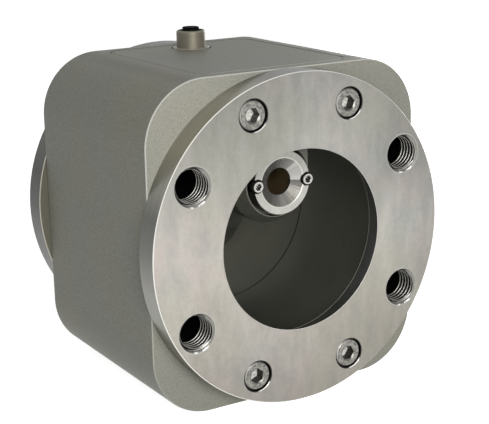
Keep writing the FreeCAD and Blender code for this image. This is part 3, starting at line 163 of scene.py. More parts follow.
class Finish:
    """A material's node tree, with short ways to add to it. The functions below call it f."""

    def __init__(self, name):
        self.material = bpy.data.materials.new(name)
        self.material.use_nodes = True
        self.tree = self.material.node_tree
        self.shader = self.tree.nodes["Principled BSDF"]
        place = self.add("ShaderNodeTexCoord").outputs["Object"]
        self.mm = self.vector("SCALE", place, scale=1 / MM)
        self.normal = self.add("ShaderNodeNewGeometry").outputs["Normal"]

    def add(self, kind, **settings):
        """A new node with these settings."""
        node = self.tree.nodes.new(kind)
        for key, setting in settings.items():
            setattr(node, key, setting)
        return node

    def feed(self, socket, source):
        """Link a source to a socket, or set a plain value on it."""
        if isinstance(source, bpy.types.NodeSocket):
            self.tree.links.new(source, socket)
        else:
            socket.default_value = source

    def vector(self, operation, *sources, scale=None):
        """One step of vector maths."""
        node = self.add("ShaderNodeVectorMath", operation=operation)
        for socket, source in zip(node.inputs, sources):
            self.feed(socket, source)
        if scale is not None:
            self.feed(node.inputs["Scale"], scale)
        return node.outputs["Value" if operation in ("LENGTH", "DOT_PRODUCT") else "Vector"]

    def scale(self, colour, factor):
        """A colour made lighter or darker."""
        return self.vector("SCALE", colour, scale=factor)

    def dot(self, source, direction):
        """How far a vector reaches in a direction."""
        return self.vector("DOT_PRODUCT", source, direction)

    def number(self, operation, *sources):
        """One step of plain maths."""
        node = self.add("ShaderNodeMath", operation=operation)
        for socket, source in zip(node.inputs, sources):
            self.feed(socket, source)
        return node.outputs[0]

    def product(self, *shares):
        """The product of shares, which is 1 where each is."""
        total = shares[0]
        for share in shares[1:]:
            total = self.number("MULTIPLY", total, share)
        return total

    def distance(self, source, place):
        """How far a value is from a place, either way."""
        return self.number("ABSOLUTE", self.number("SUBTRACT", source, place))

    def part(self, source, axis):
        """What a vector has along one axis."""
        node = self.add("ShaderNodeSeparateXYZ")
        self.feed(node.inputs[0], source)
        return node.outputs[axis]

    def along(self, axis):
        """A point's place along an axis, in millimetres."""
        return self.part(self.mm, axis)

    def apart(self, axis):
        """A point's distance from the middle along an axis, in millimetres."""
        return self.number("ABSOLUTE", self.along(axis))

    def around(self, x, z, level=BORE_AXIS):
        """Distance from the nearest of the axes along Y at x and z each side of a level."""
        folded = self.vector("ABSOLUTE", self.vector("SUBTRACT", self.mm, (0, 0, level)))
        centred = self.vector("SUBTRACT", folded, (x, 0, z))
        return self.vector("LENGTH", self.vector("MULTIPLY", centred, (1, 0, 1)))

    def from_axis(self, direction, level):
        """How far a point lies this way from the axis along Y at a level."""
        return self.dot(self.vector("SUBTRACT", self.mm, (0, 0, level)), direction)

    def faces_along(self, axis):
        """How squarely the surface faces along an axis, 0 to 1."""
        return self.number("ABSOLUTE", self.part(self.normal, axis))

    def bevel(self, width):
        """1 on faces that slope 45 degrees to the flow, as broken edges do."""
        return self.range(self.distance(self.faces_along("Y"), math.sqrt(0.5)), width, width / 2)

    def range(self, source, low, high, to_low=0.0, to_high=1.0, smooth=False):
        """Map low..high to to_low..to_high, held at both ends."""
        node = self.add("ShaderNodeMapRange", clamp=True)
        node.interpolation_type = "SMOOTHSTEP" if smooth else "LINEAR"
        for socket, value in zip(node.inputs, (source, low, high, to_low, to_high)):
            self.feed(socket, value)
        return node.outputs["Result"]

    def below(self, source, limit, soft):
        """1 up to a limit, and 0 from a soft step above it."""
        return self.range(source, limit + soft, limit)

    def above(self, source, limit, soft):
        """1 from a limit on, and 0 up to a soft step below it."""
        return self.range(source, limit - soft, limit)

    def noise(self, scale, detail=3.0, rough=0.55, stretch=None, turn=None):
        """Noise on the part's millimetres: scale is in features per millimetre."""
        source = self.mm
        if stretch or turn:
            mapping = self.add("ShaderNodeMapping", vector_type="POINT")
            self.feed(mapping.inputs["Vector"], source)
            mapping.inputs["Scale"].default_value = stretch or (1, 1, 1)
            mapping.inputs["Rotation"].default_value = turn or (0, 0, 0)
            source = mapping.outputs["Vector"]
        node = self.add("ShaderNodeTexNoise")
        self.feed(node.inputs["Vector"], source)
        node.inputs["Scale"].default_value = scale
        node.inputs["Detail"].default_value = detail
        node.inputs["Roughness"].default_value = rough
        return node.outputs["Fac"]

    def blend(self, share, first, second, kind="MIX"):
        """Mix two colours, which a mix node takes at its sockets 6 and 7 and gives at its output 2."""
        node = self.add("ShaderNodeMix", data_type="RGBA", blend_type=kind)
        self.feed(node.inputs[0], share)
        self.feed(node.inputs[6], first if isinstance(first, bpy.types.NodeSocket) else (*first, 1))
        self.feed(node.inputs[7], second if isinstance(second, bpy.types.NodeSocket) else (*second, 1))
        return node.outputs[2]

    def ramp(self, share, stops):
        """A colour ramp through (place, colour) stops."""
        node = self.add("ShaderNodeValToRGB")
        self.feed(node.inputs["Fac"], share)
        elements = node.color_ramp.elements
        while len(elements) < len(stops):
            elements.new(0.5)
        for element, (place, colour) in zip(elements, stops):
            element.position = place
            element.color = (*colour, 1)
        return node.outputs["Color"]

    def bump(self, height, depth):
        """Relief of this depth in millimetres."""
        node = self.add("ShaderNodeBump")
        node.inputs["Strength"].default_value = 1.0
        node.inputs["Distance"].default_value = depth * MM
        self.feed(node.inputs["Height"], height)
        return node.outputs["Normal"]

    def set(self, **sources):
        """Set the shader's own sockets; an underscore stands for a blank."""
        for key, source in sources.items():
            socket = self.shader.inputs[key.replace("_", " ")]
            if socket.type == "RGBA" and not isinstance(source, bpy.types.NodeSocket):
                source = (*source, 1)
            self.feed(socket, source)
        return self.material


# The block

def blasted(name, dark, light, bore_dark, bore_light):
    """Bead-blasted metal, speckled, with painted shade in the bore and painted shade as black in the
    port holes.
    """
    f = Finish(name)
    grain = f.noise(1.7, detail=2.0, rough=0.75)
    fine = f.noise(4.0, detail=1.0)
    speckle = f.number("ADD", f.product(grain, 0.7), f.product(fine, 0.3))
    radius = f.around(0, 0)
    inside = f.below(radius, BORE_RADIUS + BORE_EDGE, 0.2)
    # Inside the bore the colour is painted shade.
    colour = f.blend(inside, block_coat(f, speckle, dark, light), bore_shade(f, bore_dark, bore_light))
    outside = f.range(radius, BORE_RADIUS + 1, BORE_RADIUS + 2)
    # Painted shade: the port holes black.
    hole = f.product(f.below(f.around(PORT_X, PORT_Z), PORT_RELIEF, 0.1), outside)
    colour = f.blend(hole, colour, grey(0.002))
    return f.set(
        Base_Color=colour, Roughness=f.range(speckle, 0.3, 0.7, 0.5, 0.62), Metallic=0.05,
        Specular_IOR_Level=f.range(f.number("ADD", inside, hole), 0, 1, 0.3, 0.15),
        Normal=f.bump(speckle, 0.05),
    )


def block_coat(f, speckle, dark, light):
    """The block outside its bore: coarser on the ends; painted light on the ends, shade on roof and
    seam, highlights on edges.
    """
    colour = f.blend(f.range(speckle, 0.4, 0.6), dark, light)
    cloud = f.range(f.noise(0.02, detail=2.0), 0.35, 0.65)
    colour = f.blend(1.0, colour, f.blend(cloud, (0.97, 0.99, 1.0), (1.03, 1.01, 0.96)), "MULTIPLY")
    coarse = f.range(f.noise(1.3, detail=2.0, rough=0.8), 0.4, 0.6)
    # Painted light: the ends lighter toward the upper left.
    gleam = f.range(f.from_axis((-0.7, 0, 0.7), BORE_AXIS), 0, 70, 0.84, 1.0)
    end_colour = f.scale(f.blend(coarse, colour, (0.305, 0.294, 0.252)), gleam)
    colour = f.blend(f.range(f.faces_along("Y"), 0.9, 0.97), colour, end_colour)
    # Painted shade on the roof.
    roof = f.range(f.part(f.normal, "Z"), 0.9, 0.97)
    colour = f.blend(f.product(roof, 0.21), colour, grey(0))
    # Painted highlight on the broken edges, stronger higher up.
    edge_light = f.range(f.along("Z"), 20, 90, 0.3, 0.75)
    colour = f.blend(f.product(f.bevel(0.1), edge_light), colour, (0.60, 0.60, 0.55))
    # Painted shade on the walls of the gap round the cover plate, and on the roof beside it.
    colour = f.blend(cover_seam(f), colour, grey(0.004))
    return f.blend(f.product(seam_sides(f), 0.55), colour, (0.02, 0.02, 0.018))


def bore_shade(f, dark, light):
    """The bore, dark with painted shade, lighter to the rear and right, with a groove and painted
    highlights on broken edges.
    """
    shaded_colour = f.blend(f.range(f.noise(0.03, detail=1.0), 0.3, 0.7), dark, light)
    shaded_colour = f.blend(f.range(f.noise(1.2, detail=3.0), 0.35, 0.65, 0, 0.25), shaded_colour, (0.09, 0.09, 0.075))
    to_rear = f.range(f.along("Y"), -20, 25, 1.0, 1.75, smooth=True)
    to_right = f.range(f.along("X"), 0, 35, 1.0, 1.3)
    shaded_colour = f.scale(shaded_colour, f.product(to_rear, to_right))
    groove = f.below(f.distance(f.along("Y"), GROOVE_PLACE), GROOVE_HALF_WIDTH, 0.15)
    shaded_colour = f.blend(groove, shaded_colour, (0.012, 0.012, 0.01))
    # Painted highlight on the bore's broken edges.
    return f.blend(f.product(f.bevel(0.1), 0.6), shaded_colour, (0.40, 0.39, 0.35))


def cover_seam(f):
    """1 on the upright walls of the gap round the cover plate."""
    return f.product(
        f.range(f.faces_along("Z"), 0.6, 0.4),
        f.above(f.along("Z"), COVER_UNDERSIDE - 0.1, 0.1),
        f.below(f.apart("X"), COVER_X + SEAM_WALL, 0.1),
        f.below(f.apart("Y"), COVER_Y + SEAM_WALL, 0.1),
    )


def seam_sides(f):
    """1 on the thin edges of the roof along both sides of the cover plate."""
    return f.product(
        f.below(f.distance(f.apart("X"), COVER_X + COVER_GAP / 2), SEAM_SIDE, 0.05),
        f.above(f.along("Z"), ROOF - 0.2, 0.1),
        f.below(f.apart("Y"), COVER_Y - SEAM_CORNER, 0.5),
    )


# The probe

def shaded_carrier(name):
    """The probe's pod and strut: painted shade on the sides, painted light on the ends, and a painted
    shadow beside each nozzle.
    """
    f = Finish(name)
    grain = f.noise(1.4, detail=3.0)
    # Painted shade on the sides and painted light on the ends that face along the flow.
    shaded_colour = f.blend(f.range(grain, 0.35, 0.65), (0.055, 0.056, 0.043), (0.09, 0.09, 0.072))
    lit_ends = f.blend(f.range(grain, 0.35, 0.65), (0.16, 0.157, 0.132), (0.205, 0.20, 0.172))
    colour = f.blend(f.range(f.faces_along("Y"), 0.7, 0.9), shaded_colour, lit_ends)
    radius = f.around(0, 0, PROBE_AXIS)
    # Painted shade in the nose recess.
    colour = f.blend(f.below(radius, NOSE_RECESS - 0.02, 0.04), colour, (0.12, 0.12, 0.094))
    # Painted highlight on the nose rim.
    rim = f.product(f.above(f.apart("Y"), NOSE - NOSE_RIM, 0.05), f.range(f.faces_along("Y"), 0.3, 0.5))
    colour = f.blend(rim, colour, (0.165, 0.162, 0.14))
    # Painted shadow beside each nozzle, at its upper right.
    upper_right = f.range(f.from_axis((0.62, 0, 0.78), PROBE_AXIS), 5, 9)
    nozzle_shadow = f.below(radius, NOSE_RECESS + NOSE_SHADE, 0.2)
    colour = f.blend(f.product(upper_right, nozzle_shadow), colour, (0.01, 0.01, 0.009))
    return f.set(
        Base_Color=colour, Roughness=f.range(grain, 0.3, 0.7, 0.45, 0.6), Metallic=0.1,
        Specular_IOR_Level=0.2, Normal=f.bump(grain, 0.02),
    )


def nozzle_steel(name):
    """Turned and polished steel, with painted reflections as light and dark sectors round the entry
    cone, and painted shade and highlights.
    """
    f = Finish(name)
    cone = f.range(f.faces_along("Y"), 0.97, 0.9)
    plain = f.blend(f.range(f.noise(0.25), 0.3, 0.7), (0.385, 0.38, 0.345), (0.45, 0.445, 0.41))
    # Painted shade: the face darker toward the top.
    shade = f.range(f.from_axis((-0.3, 0, 0.95), PROBE_AXIS), -8, 8, 1.0, 0.72, smooth=True)
    colour = f.blend(cone, f.scale(plain, shade), cone_sectors(f))
    radius = f.around(0, 0, PROBE_AXIS)
    # Painted highlight round the mouth of the entry cone.
    brim = f.below(f.distance(radius, NOZZLE_MOUTH), 0.15, 0.2)
    colour = f.blend(f.product(brim, 0.6), colour, (0.66, 0.65, 0.60))
    # Painted shade on the ring's outer side, in the gap.
    outside = f.above(radius, NOZZLE_RADIUS - 0.05, 0.2)
    side = f.product(outside, f.range(f.faces_along("Y"), 0.5, 0.4))
    colour = f.blend(side, colour, (0.11, 0.11, 0.09))
    # Painted highlight on the broken edges.
    colour = f.blend(f.bevel(0.1), colour, (0.62, 0.61, 0.57))
    # Painted shade in the screws' counterbores.
    screw = f.below(f.around(NOZZLE_SCREW_X, 0, PROBE_AXIS), NOZZLE_SINK, 0.1)
    colour = f.blend(screw, colour, grey(0.006))
    rings = f.noise(3.0, detail=2.0, stretch=(0.1, 1, 0.1))
    rough = f.number("ADD", f.range(rings, 0.3, 0.7, 0.2, 0.3), f.range(cone, 0, 1, 0, 0.2))
    return f.set(
        Base_Color=colour, Roughness=rough, Metallic=f.range(screw, 0, 1, 0.9, 0.1),
        Specular_IOR_Level=f.range(screw, 0, 1, 0.5, 0.1),
    )


def cone_sectors(f):
    """What the polished entry cone reflects, as sectors from -X by way of -Z, with fine streaks."""
    shifted = f.vector("SUBTRACT", f.mm, (0, 0, PROBE_AXIS))
    angle = f.number("ARCTAN2", f.part(shifted, "Z"), f.part(shifted, "X"))
    sectors = f.ramp(f.range(angle, -math.pi, math.pi), (
        (0.00, (0.14, 0.135, 0.12)), (0.14, (0.15, 0.145, 0.13)), (0.26, (0.22, 0.215, 0.20)),
        (0.31, (0.12, 0.115, 0.10)), (0.36, (0.11, 0.105, 0.09)), (0.42, (0.085, 0.08, 0.07)),
        (0.455, (0.045, 0.044, 0.038)), (0.49, (0.05, 0.049, 0.042)), (0.505, (0.31, 0.305, 0.29)),
        (0.60, (0.33, 0.325, 0.305)), (0.635, (0.42, 0.41, 0.39)), (0.65, (0.20, 0.195, 0.18)),
        (0.76, (0.15, 0.147, 0.133)), (0.83, (0.11, 0.106, 0.093)), (1.00, (0.14, 0.135, 0.12)),
    ))
    streaks = f.add("ShaderNodeTexNoise", noise_dimensions="1D")
    f.feed(streaks.inputs["W"], angle)
    streaks.inputs["Scale"].default_value = 9.0
    streaks.inputs["Detail"].default_value = 3.0
    return f.blend(f.range(streaks.outputs["Fac"], 0.35, 0.65, 0, 0.12), sectors, (0.62, 0.61, 0.58))


# The flanges

def ground_steel(name):
    """Flange steel: ground face, turned rim, painted highlights on broken edges, painted shade on inner
    walls, back and holes.
    """
    f = Finish(name)
    mottle = f.noise(0.55, detail=4.0, rough=0.7)
    # Painted shade on the flange's inner walls.
    shaded_colour = f.blend(f.range(f.noise(0.06), 0.35, 0.65), (0.038, 0.0385, 0.03), (0.085, 0.085, 0.07))
    # Painted shade: the walls of the holes black.
    beyond_bore = f.range(f.around(0, 0), BORE_RADIUS + 0.2, BORE_RADIUS + 0.6)
    outer = flange_rim(f)
    side = f.blend(outer, f.blend(beyond_bore, shaded_colour, grey(0.008)), turned_rim(f))
    colour = f.blend(f.range(f.faces_along("Y"), 0.9, 0.98), side, ground_face(f, mottle))
    # Painted shade on the back face against the block.
    back_face_shade = f.below(f.apart("Y"), BLOCK_END + 0.01, 0.01)
    colour = f.blend(back_face_shade, colour, (0.235, 0.222, 0.18))

    # Broken edges: a painted highlight, weaker to the right.
    bevel = f.bevel(0.12)
    glint = f.range(f.along("X"), -30, 40, 1.0, 0.62)
    colour = f.blend(bevel, colour, f.scale((0.82, 0.81, 0.76), glint))
    # A dimmer painted highlight on the outer edge next to the block.
    back_edge = f.below(f.apart("Y"), BLOCK_END + JOINT_EDGE, 0.1)
    colour = f.blend(f.product(back_edge, bevel, outer), colour, (0.44, 0.42, 0.355))
    colour = painted_mouth_ring(f, sunk_edges(f, colour, bevel))
    metal = flange_metal(f)
    tangent = f.add("ShaderNodeTangent", direction_type="RADIAL", axis="Y").outputs["Tangent"]
    return f.set(
        Base_Color=colour, Roughness=f.range(mottle, 0.3, 0.7, 0.32, 0.42),
        Metallic=f.range(metal, 0, 1, 0.15, 0.7), Specular_IOR_Level=f.range(metal, 0, 1, 0.12, 0.4),
        Anisotropic=0.5, Tangent=tangent, Normal=f.bump(mottle, 0.004),
    )


def flange_rim(f):
    """1 on the rim of a flange and on its outer edges."""
    return f.above(f.around(0, 0), FLANGE_RADIUS - FLANGE_RIM, 0.2)


def flange_metal(f):
    """0 on the dark inner walls of a flange, 1 on its faces, edges, rim and port mouths."""
    metal = f.number("MAXIMUM", flange_rim(f), f.range(f.faces_along("Y"), 0.5, 0.6))
    return f.number("MAXIMUM", metal, port_mouth(f))


def turn_about_bore(f):
    """How far a point lies round the bore's axis from +X by way of +Z, 0 to 1."""
    opposite = f.vector("SUBTRACT", (0, 0, BORE_AXIS), f.mm)
    return f.range(f.number("ARCTAN2", f.part(opposite, "Z"), f.part(opposite, "X")), -math.pi, math.pi)


def ground_face(f, mottle):
    """The cloudy colour of a ground flange face, warmer in its lower half, with painted light at its
    left and painted reflections round the bore.

    The ramp round the bore holds half of each share, because it can't hold more than 1.
    """
    cloud = f.noise(0.05, detail=3.0, rough=0.6)
    drift = f.noise(0.017, detail=2.0)
    grain = f.noise(2.2, detail=2.0)
    sweep = f.noise(0.16, detail=3.0, rough=0.6, stretch=(1, 1, 0.3), turn=(0, math.radians(-38), 0))
    face = f.blend(f.range(cloud, 0.4, 0.6), (0.262, 0.268, 0.246), (0.318, 0.293, 0.27))
    face = f.blend(f.range(drift, 0.42, 0.6), face, (0.292, 0.288, 0.248))
    face = f.blend(f.range(sweep, 0.5, 0.7, 0.0, 0.4), face, (0.385, 0.378, 0.355))
    face = f.blend(f.range(sweep, 0.5, 0.3, 0.0, 0.4), face, (0.20, 0.205, 0.20))
    face = f.blend(f.range(mottle, 0.3, 0.7, 0.0, 0.14), face, (0.55, 0.54, 0.51))
    face = f.blend(f.range(grain, 0.35, 0.65, 0.0, 0.22), face, (0.14, 0.14, 0.13))
    lower = f.range(f.from_axis((-0.3, 0, -0.95), BORE_AXIS), -25, 20)
    face = f.blend(1.0, face, f.blend(lower, grey(1), (1.005, 0.967, 0.95)), "MULTIPLY")
    # Painted reflections: lighter and darker sectors round the bore.
    shade = f.ramp(turn_about_bore(f), [(place, grey(level)) for place, level in (
        (0.00, 0.60), (0.08, 0.42), (0.17, 0.47), (0.25, 0.45), (0.33, 0.42), (0.42, 0.54),
        (0.50, 0.64), (0.58, 0.52), (0.67, 0.50), (0.78, 0.50), (0.86, 0.49), (0.93, 0.56),
        (1.00, 0.60),
    )])
    # Painted light at the left of the face.
    left = f.range(f.along("X"), -48, -68, 1.0, 1.2, smooth=True)
    outward = f.range(f.around(0, 0), BORE_RADIUS, FLANGE_RADIUS, 1.18, 0.93)
    return f.scale(face, f.product(shade, 2.0, left, outward))


def turned_rim(f):
    """A turned rim with painted reflections, lighter and darker round its edge, and painted shade on
    the rear flange.
    """
    rings = f.noise(0.9, detail=2.0, stretch=(0.04, 1, 0.04))
    rim = f.ramp(turn_about_bore(f), (
        (0.00, (0.11, 0.107, 0.10)), (0.22, (0.05, 0.05, 0.046)), (0.285, (0.14, 0.137, 0.124)),
        (0.325, (0.41, 0.397, 0.33)), (0.39, (0.40, 0.382, 0.31)), (0.422, (0.27, 0.264, 0.225)),
        (0.458, (0.10, 0.101, 0.088)), (0.49, (0.135, 0.135, 0.12)), (0.525, (0.24, 0.236, 0.212)),
        (0.60, (0.26, 0.256, 0.222)), (0.65, (0.09, 0.087, 0.074)), (0.71, (0.18, 0.174, 0.15)),
        (0.75, (0.20, 0.194, 0.168)), (1.00, (0.11, 0.107, 0.095)),
    ))
    # Painted shade on the rear flange's rim.
    rear_shade = f.range(f.along("Y"), -1, 1, 1.0, 0.28)
    return f.scale(rim, f.product(rear_shade, f.range(rings, 0.2, 0.8, 0.88, 1.12)))


def sunk_edges(f, colour, bevel):
    """The mouths of the cap screws' holes: painted shade, with a painted highlight where they face up.
    """
    upward = f.product(f.dot(f.normal, PAINTED_LIGHT_DIRECTION), f.range(bevel, 0, 1, 1.0, math.sqrt(2)))
    cap = f.below(f.around(CAP_X, CAP_Z), CAP_EDGE, 0.2)
    edge = f.blend(f.range(upward, 0.85, 0.94), (0.03, 0.03, 0.027), (0.85, 0.84, 0.80))
    return f.blend(f.product(cap, bevel), colour, edge)


def from_port(f):
    """Distance from the nearest port's axis, and the direction from it across the flow."""
    place = f.vector("SUBTRACT", f.mm, (0, 0, BORE_AXIS))
    centred = f.vector("SUBTRACT", f.vector("ABSOLUTE", place), (PORT_X, 0, PORT_Z))
    outward = f.vector("MULTIPLY", f.vector("MULTIPLY", centred, f.vector("SIGN", place)), (1, 0, 1))
    return f.vector("LENGTH", outward), f.vector("NORMALIZE", outward)


def port_mouth(f):
    """1 on the painted ring round each port hole, which reaches further in at its bottom."""
    radius, outward = from_port(f)
    depth = f.number("SUBTRACT", FACE, f.apart("Y"))
    reach = f.range(f.dot(outward, (0, 0, -1)), 0.5, 0.9, *MOUTH_DEPTHS)
    return f.product(
        f.below(radius, MOUTH_RADIUS - 0.05, 0.1),
        f.below(f.number("SUBTRACT", depth, reach), -0.05, 0.1),
    )


def painted_mouth_ring(f, colour):
    """Port mouths: streaky grey with painted light and shade, and painted highlights on the outline and
    low down.
    """
    radius, outward = from_port(f)
    streaks = f.range(f.noise(0.8, detail=3.0, rough=0.7), 0.42, 0.58)
    ring = f.blend(streaks, (0.16, 0.158, 0.145), (0.27, 0.265, 0.245))
    # Painted light: lighter to the upper right.
    upper_right = f.range(f.dot(outward, (0.85, 0, 0.53)), 0.1, 0.7, 0, 0.75)
    ring = f.blend(upper_right, ring, (0.27, 0.262, 0.236))
    # Painted shade: darker to the left.
    left = f.range(f.dot(outward, (-0.95, 0, -0.3)), 0.3, 0.7, 0, 0.7)
    ring = f.blend(left, ring, (0.10, 0.098, 0.09))
    # Painted highlight on the ring's outline, weaker to the right.
    edge = f.below(f.distance(radius, MOUTH_RADIUS - 0.14), 0.1, 0.06)
    strength = f.range(f.part(outward, "X"), -0.5, 0.9, 0.6, 0.4)
    ring = f.blend(f.product(edge, strength), ring, (0.62, 0.61, 0.57))
    patchiness = f.range(f.noise(1.3, detail=2.0), 0.38, 0.5)
    # White painted highlights low down on the ring.
    for direction, cosine in MOUTH_HIGHLIGHTS:
        patch = f.product(
            f.range(f.dot(outward, direction), cosine - 0.008, cosine + 0.004), patchiness,
            f.above(radius, THREAD_ROOT + 0.15, 0.1), f.below(radius, MOUTH_RADIUS - 0.3, 0.3),
        )
        ring = f.blend(patch, ring, (0.98, 0.97, 0.95))
    return f.blend(port_mouth(f), colour, ring)


def thread_steel(name):
    """Cut threads: thin bright crests between flanks painted black as shade, and painted port mouths.
    """
    f = Finish(name)
    patchiness = f.noise(2.0, detail=3.0)
    # Painted shade: the flanks between the crests black.
    crest = f.below(f.around(PORT_X, PORT_Z), THREAD_CREST + 0.02, 0.23)
    bright = f.blend(f.range(patchiness, 0.4, 0.65, 0, 0.6), (0.44, 0.432, 0.40), (0.16, 0.157, 0.145))
    return f.set(
        Base_Color=painted_mouth_ring(f, f.blend(crest, grey(0.003), bright)), Roughness=0.35, Metallic=0.6,
        Specular_IOR_Level=0.1, Normal=f.bump(patchiness, 0.02),
    )


# Screws

def screw_steel(name):
    """Socket head screws along the flow: worn heads, with painted shade on walls and leads and painted
    light on floors and edges.
    """
    f = Finish(name)
    marks = f.noise(0.8, detail=4.0, rough=0.7)
    cap = f.around(CAP_X, CAP_Z)
    small = f.around(NOZZLE_SCREW_X, 0, PROBE_AXIS)
    # Painted shade on the sockets' leads, darker where they face up-left.
    upward = f.range(f.dot(f.normal, PAINTED_LIGHT_DIRECTION), -0.3, 0.6)
    lead = f.number("MAXIMUM", f.below(cap, CAP_LEAD, 0.15), f.below(small, SMALL_LEAD, 0.1))
    leads = f.blend(upward, (0.30, 0.293, 0.265), (0.085, 0.083, 0.076))
    colour = f.blend(lead, worn_heads(f, marks, small), leads)

    # Painted light on the sockets' floors.
    deep = f.below(f.apart("Y"), FACE - FLOOR_DEPTH, 0.5)
    level = f.product(deep, f.range(f.faces_along("Y"), 0.9, 0.95))
    floor = f.product(level, f.below(cap, CAP_FLOOR, 0.1))
    bright = f.blend(f.range(marks, 0.4, 0.6), (0.95, 0.93, 0.87), (0.45, 0.44, 0.41))
    colour = f.blend(floor, colour, bright)
    # Painted light, speckled, on the small screws' socket floors.
    specks = f.range(f.noise(1.6, detail=2.0), 0.47, 0.53)
    speckled = f.blend(specks, (0.03, 0.03, 0.027), (0.75, 0.74, 0.70))
    colour = f.blend(f.product(level, f.below(small, SMALL_FLOOR, 0.1)), colour, speckled)

    # Painted shade on the sockets' walls and the heads' sides.
    side = f.range(f.faces_along("Y"), 0.5, 0.4)
    wall_shade_breakup = f.range(f.noise(1.5, detail=3.0), 0.3, 0.7)
    colour = f.blend(side, colour, f.blend(wall_shade_breakup, (0.012, 0.012, 0.01), (0.045, 0.043, 0.036)))
    # Painted highlight on the heads' broken edges.
    edge = f.blend(f.above(cap, CAP_FLAT, 0.1), (0.55, 0.54, 0.51), (0.36, 0.355, 0.33))
    colour = f.blend(f.product(f.bevel(0.1), f.range(lead, 0, 1, 1, 0)), colour, edge)
    return f.set(
        Base_Color=colour, Roughness=f.range(marks, 0.3, 0.7, 0.25, 0.4),
        Metallic=f.range(f.number("MAXIMUM", side, floor), 0, 1, 0.85, 0.2),
        Specular_IOR_Level=f.range(side, 0, 1, 0.5, 0.1), Normal=f.bump(marks, 0.02),
    )


def worn_heads(f, marks, small):
    """The grey of worn screw heads, lighter on the nozzle's screws."""
    colour = f.blend(f.range(marks, 0.42, 0.58), (0.28, 0.272, 0.243), (0.11, 0.107, 0.098))
    scuffs = f.range(f.noise(3.0, detail=2.0), 0.45, 0.65, 0, 0.35)
    colour = f.blend(scuffs, colour, (0.38, 0.37, 0.335))
    return f.blend(f.below(small, SMALL_HEAD, 1), colour, (0.54, 0.53, 0.50))


def plain_steel(name):
    """Bright machined steel with small handling marks."""
    f = Finish(name)
    marks = f.noise(0.9, detail=4.0, rough=0.7)
    return f.set(
        Base_Color=f.blend(f.range(marks, 0.42, 0.7), (0.45, 0.44, 0.41), (0.28, 0.27, 0.25)),
        Roughness=f.range(marks, 0.3, 0.7, 0.25, 0.4), Metallic=0.85, Normal=f.bump(marks, 0.02),
    )


# Connector, plastics and platings

def satin_nickel(name):
    """Satin nickel plating, warm grey, with fine turning lines and a painted highlight on the flange.
    """
    f = Finish(name)
    lines = f.noise(2.2, detail=2.0, stretch=(0.06, 0.06, 1))
    cloud = f.noise(0.12, detail=2.0)
    colour = f.blend(f.range(lines, 0.2, 0.8), (0.15, 0.136, 0.103), (0.185, 0.17, 0.132))
    colour = f.blend(f.range(cloud, 0.4, 0.7, 0.0, 0.3), colour, (0.24, 0.22, 0.18))
    # Painted highlight on the connector's flange.
    flange = f.below(f.along("Z"), ROOF + CONNECTOR_FLANGE, 0.15)
    colour = f.blend(flange, colour, (0.26, 0.24, 0.20))
    return f.set(
        Base_Color=colour, Roughness=f.range(cloud, 0.3, 0.7, 0.48, 0.58), Metallic=0.7,
        Normal=f.bump(lines, 0.004),
    )


def moulded(name, dark, light, rough, gloss=0.4):
    """Moulded plastic or rubber with a fine skin."""
    f = Finish(name)
    skin = f.noise(1.5, detail=3.0)
    cloud = f.noise(0.15, detail=2.0)
    return f.set(
        Base_Color=f.blend(f.range(cloud, 0.3, 0.7), dark, light),
        Roughness=f.range(skin, 0.3, 0.7, rough - 0.06, rough + 0.1),
        Specular_IOR_Level=gloss, Normal=f.bump(skin, 0.01),
    )


def plated(name, dark, light, rough=0.25, lines=None):
    """Plated or drawn metal; lines gives a winding's or tube's own ridges."""
    f = Finish(name)
    fine = f.noise(1.8, detail=3.0, stretch=lines)
    return f.set(
        Base_Color=f.blend(f.range(fine, 0.3, 0.7), dark, light),
        Roughness=f.range(fine, 0.3, 0.7, rough, rough + 0.12), Metallic=0.85,
        Normal=f.bump(fine, 0.02),
    )


def build_finishes():
    """Every finish by the record's slot name, and three that only this scene names."""
    block = ((0.19, 0.192, 0.159), (0.31, 0.312, 0.266))
    # The bore's two colours are painted shade.
    bore = ((0.044, 0.0445, 0.033), (0.062, 0.0625, 0.047))
    turns = (0.05, 1, 0.05)
    kinds = {
        "block_finish": (blasted, *block, *bore),
        "carrier_shade": (shaded_carrier,),
        "flange_steel": (ground_steel,),
        "screw_steel": (screw_steel,),
        "nozzle_steel": (nozzle_steel,),
        "nickel": (satin_nickel,),
        "insert_plastic": (moulded, grey(0.003), grey(0.006), 0.7, 0.02),
        "contact_metal": (plated, (0.62, 0.46, 0.16), (0.80, 0.62, 0.25)),
        "seal_rubber": (moulded, grey(0.006), grey(0.012), 0.8, 0.03),
        "tube_plastic": (moulded, (0.05, 0.034, 0.016), (0.085, 0.06, 0.03), 0.5, 0.15),
        "bobbin_plastic": (moulded, (0.48, 0.44, 0.33), (0.58, 0.53, 0.41), 0.5),
        "copper": (plated, (0.50, 0.20, 0.10), (0.72, 0.36, 0.20), 0.3, turns),
        "shield_metal": (plated, grey(0.50), (0.66, 0.66, 0.65), 0.3, turns),
        "board_laminate": (moulded, (0.02, 0.16, 0.07), (0.04, 0.24, 0.10), 0.35),
        "chip_plastic": (moulded, (0.02, 0.02, 0.022), (0.045, 0.045, 0.048), 0.5),
        "can_metal": (plated, (0.60, 0.60, 0.61), (0.78, 0.78, 0.79)),
        "lead_sheath": (moulded, (0.20, 0.20, 0.21), (0.28, 0.28, 0.29), 0.5),
        "thread_steel": (thread_steel,),
        "upright_screw_steel": (plain_steel,),
    }
    return {name: kind(name, *values) for name, (kind, *values) in kinds.items()}


def dress(node, material):
    """Give a frame node this finish."""
    slots = node.material_slots
    if not slots:
        node.data.materials.append(material)
    for slot in slots:
        slot.material = material


# Port threads

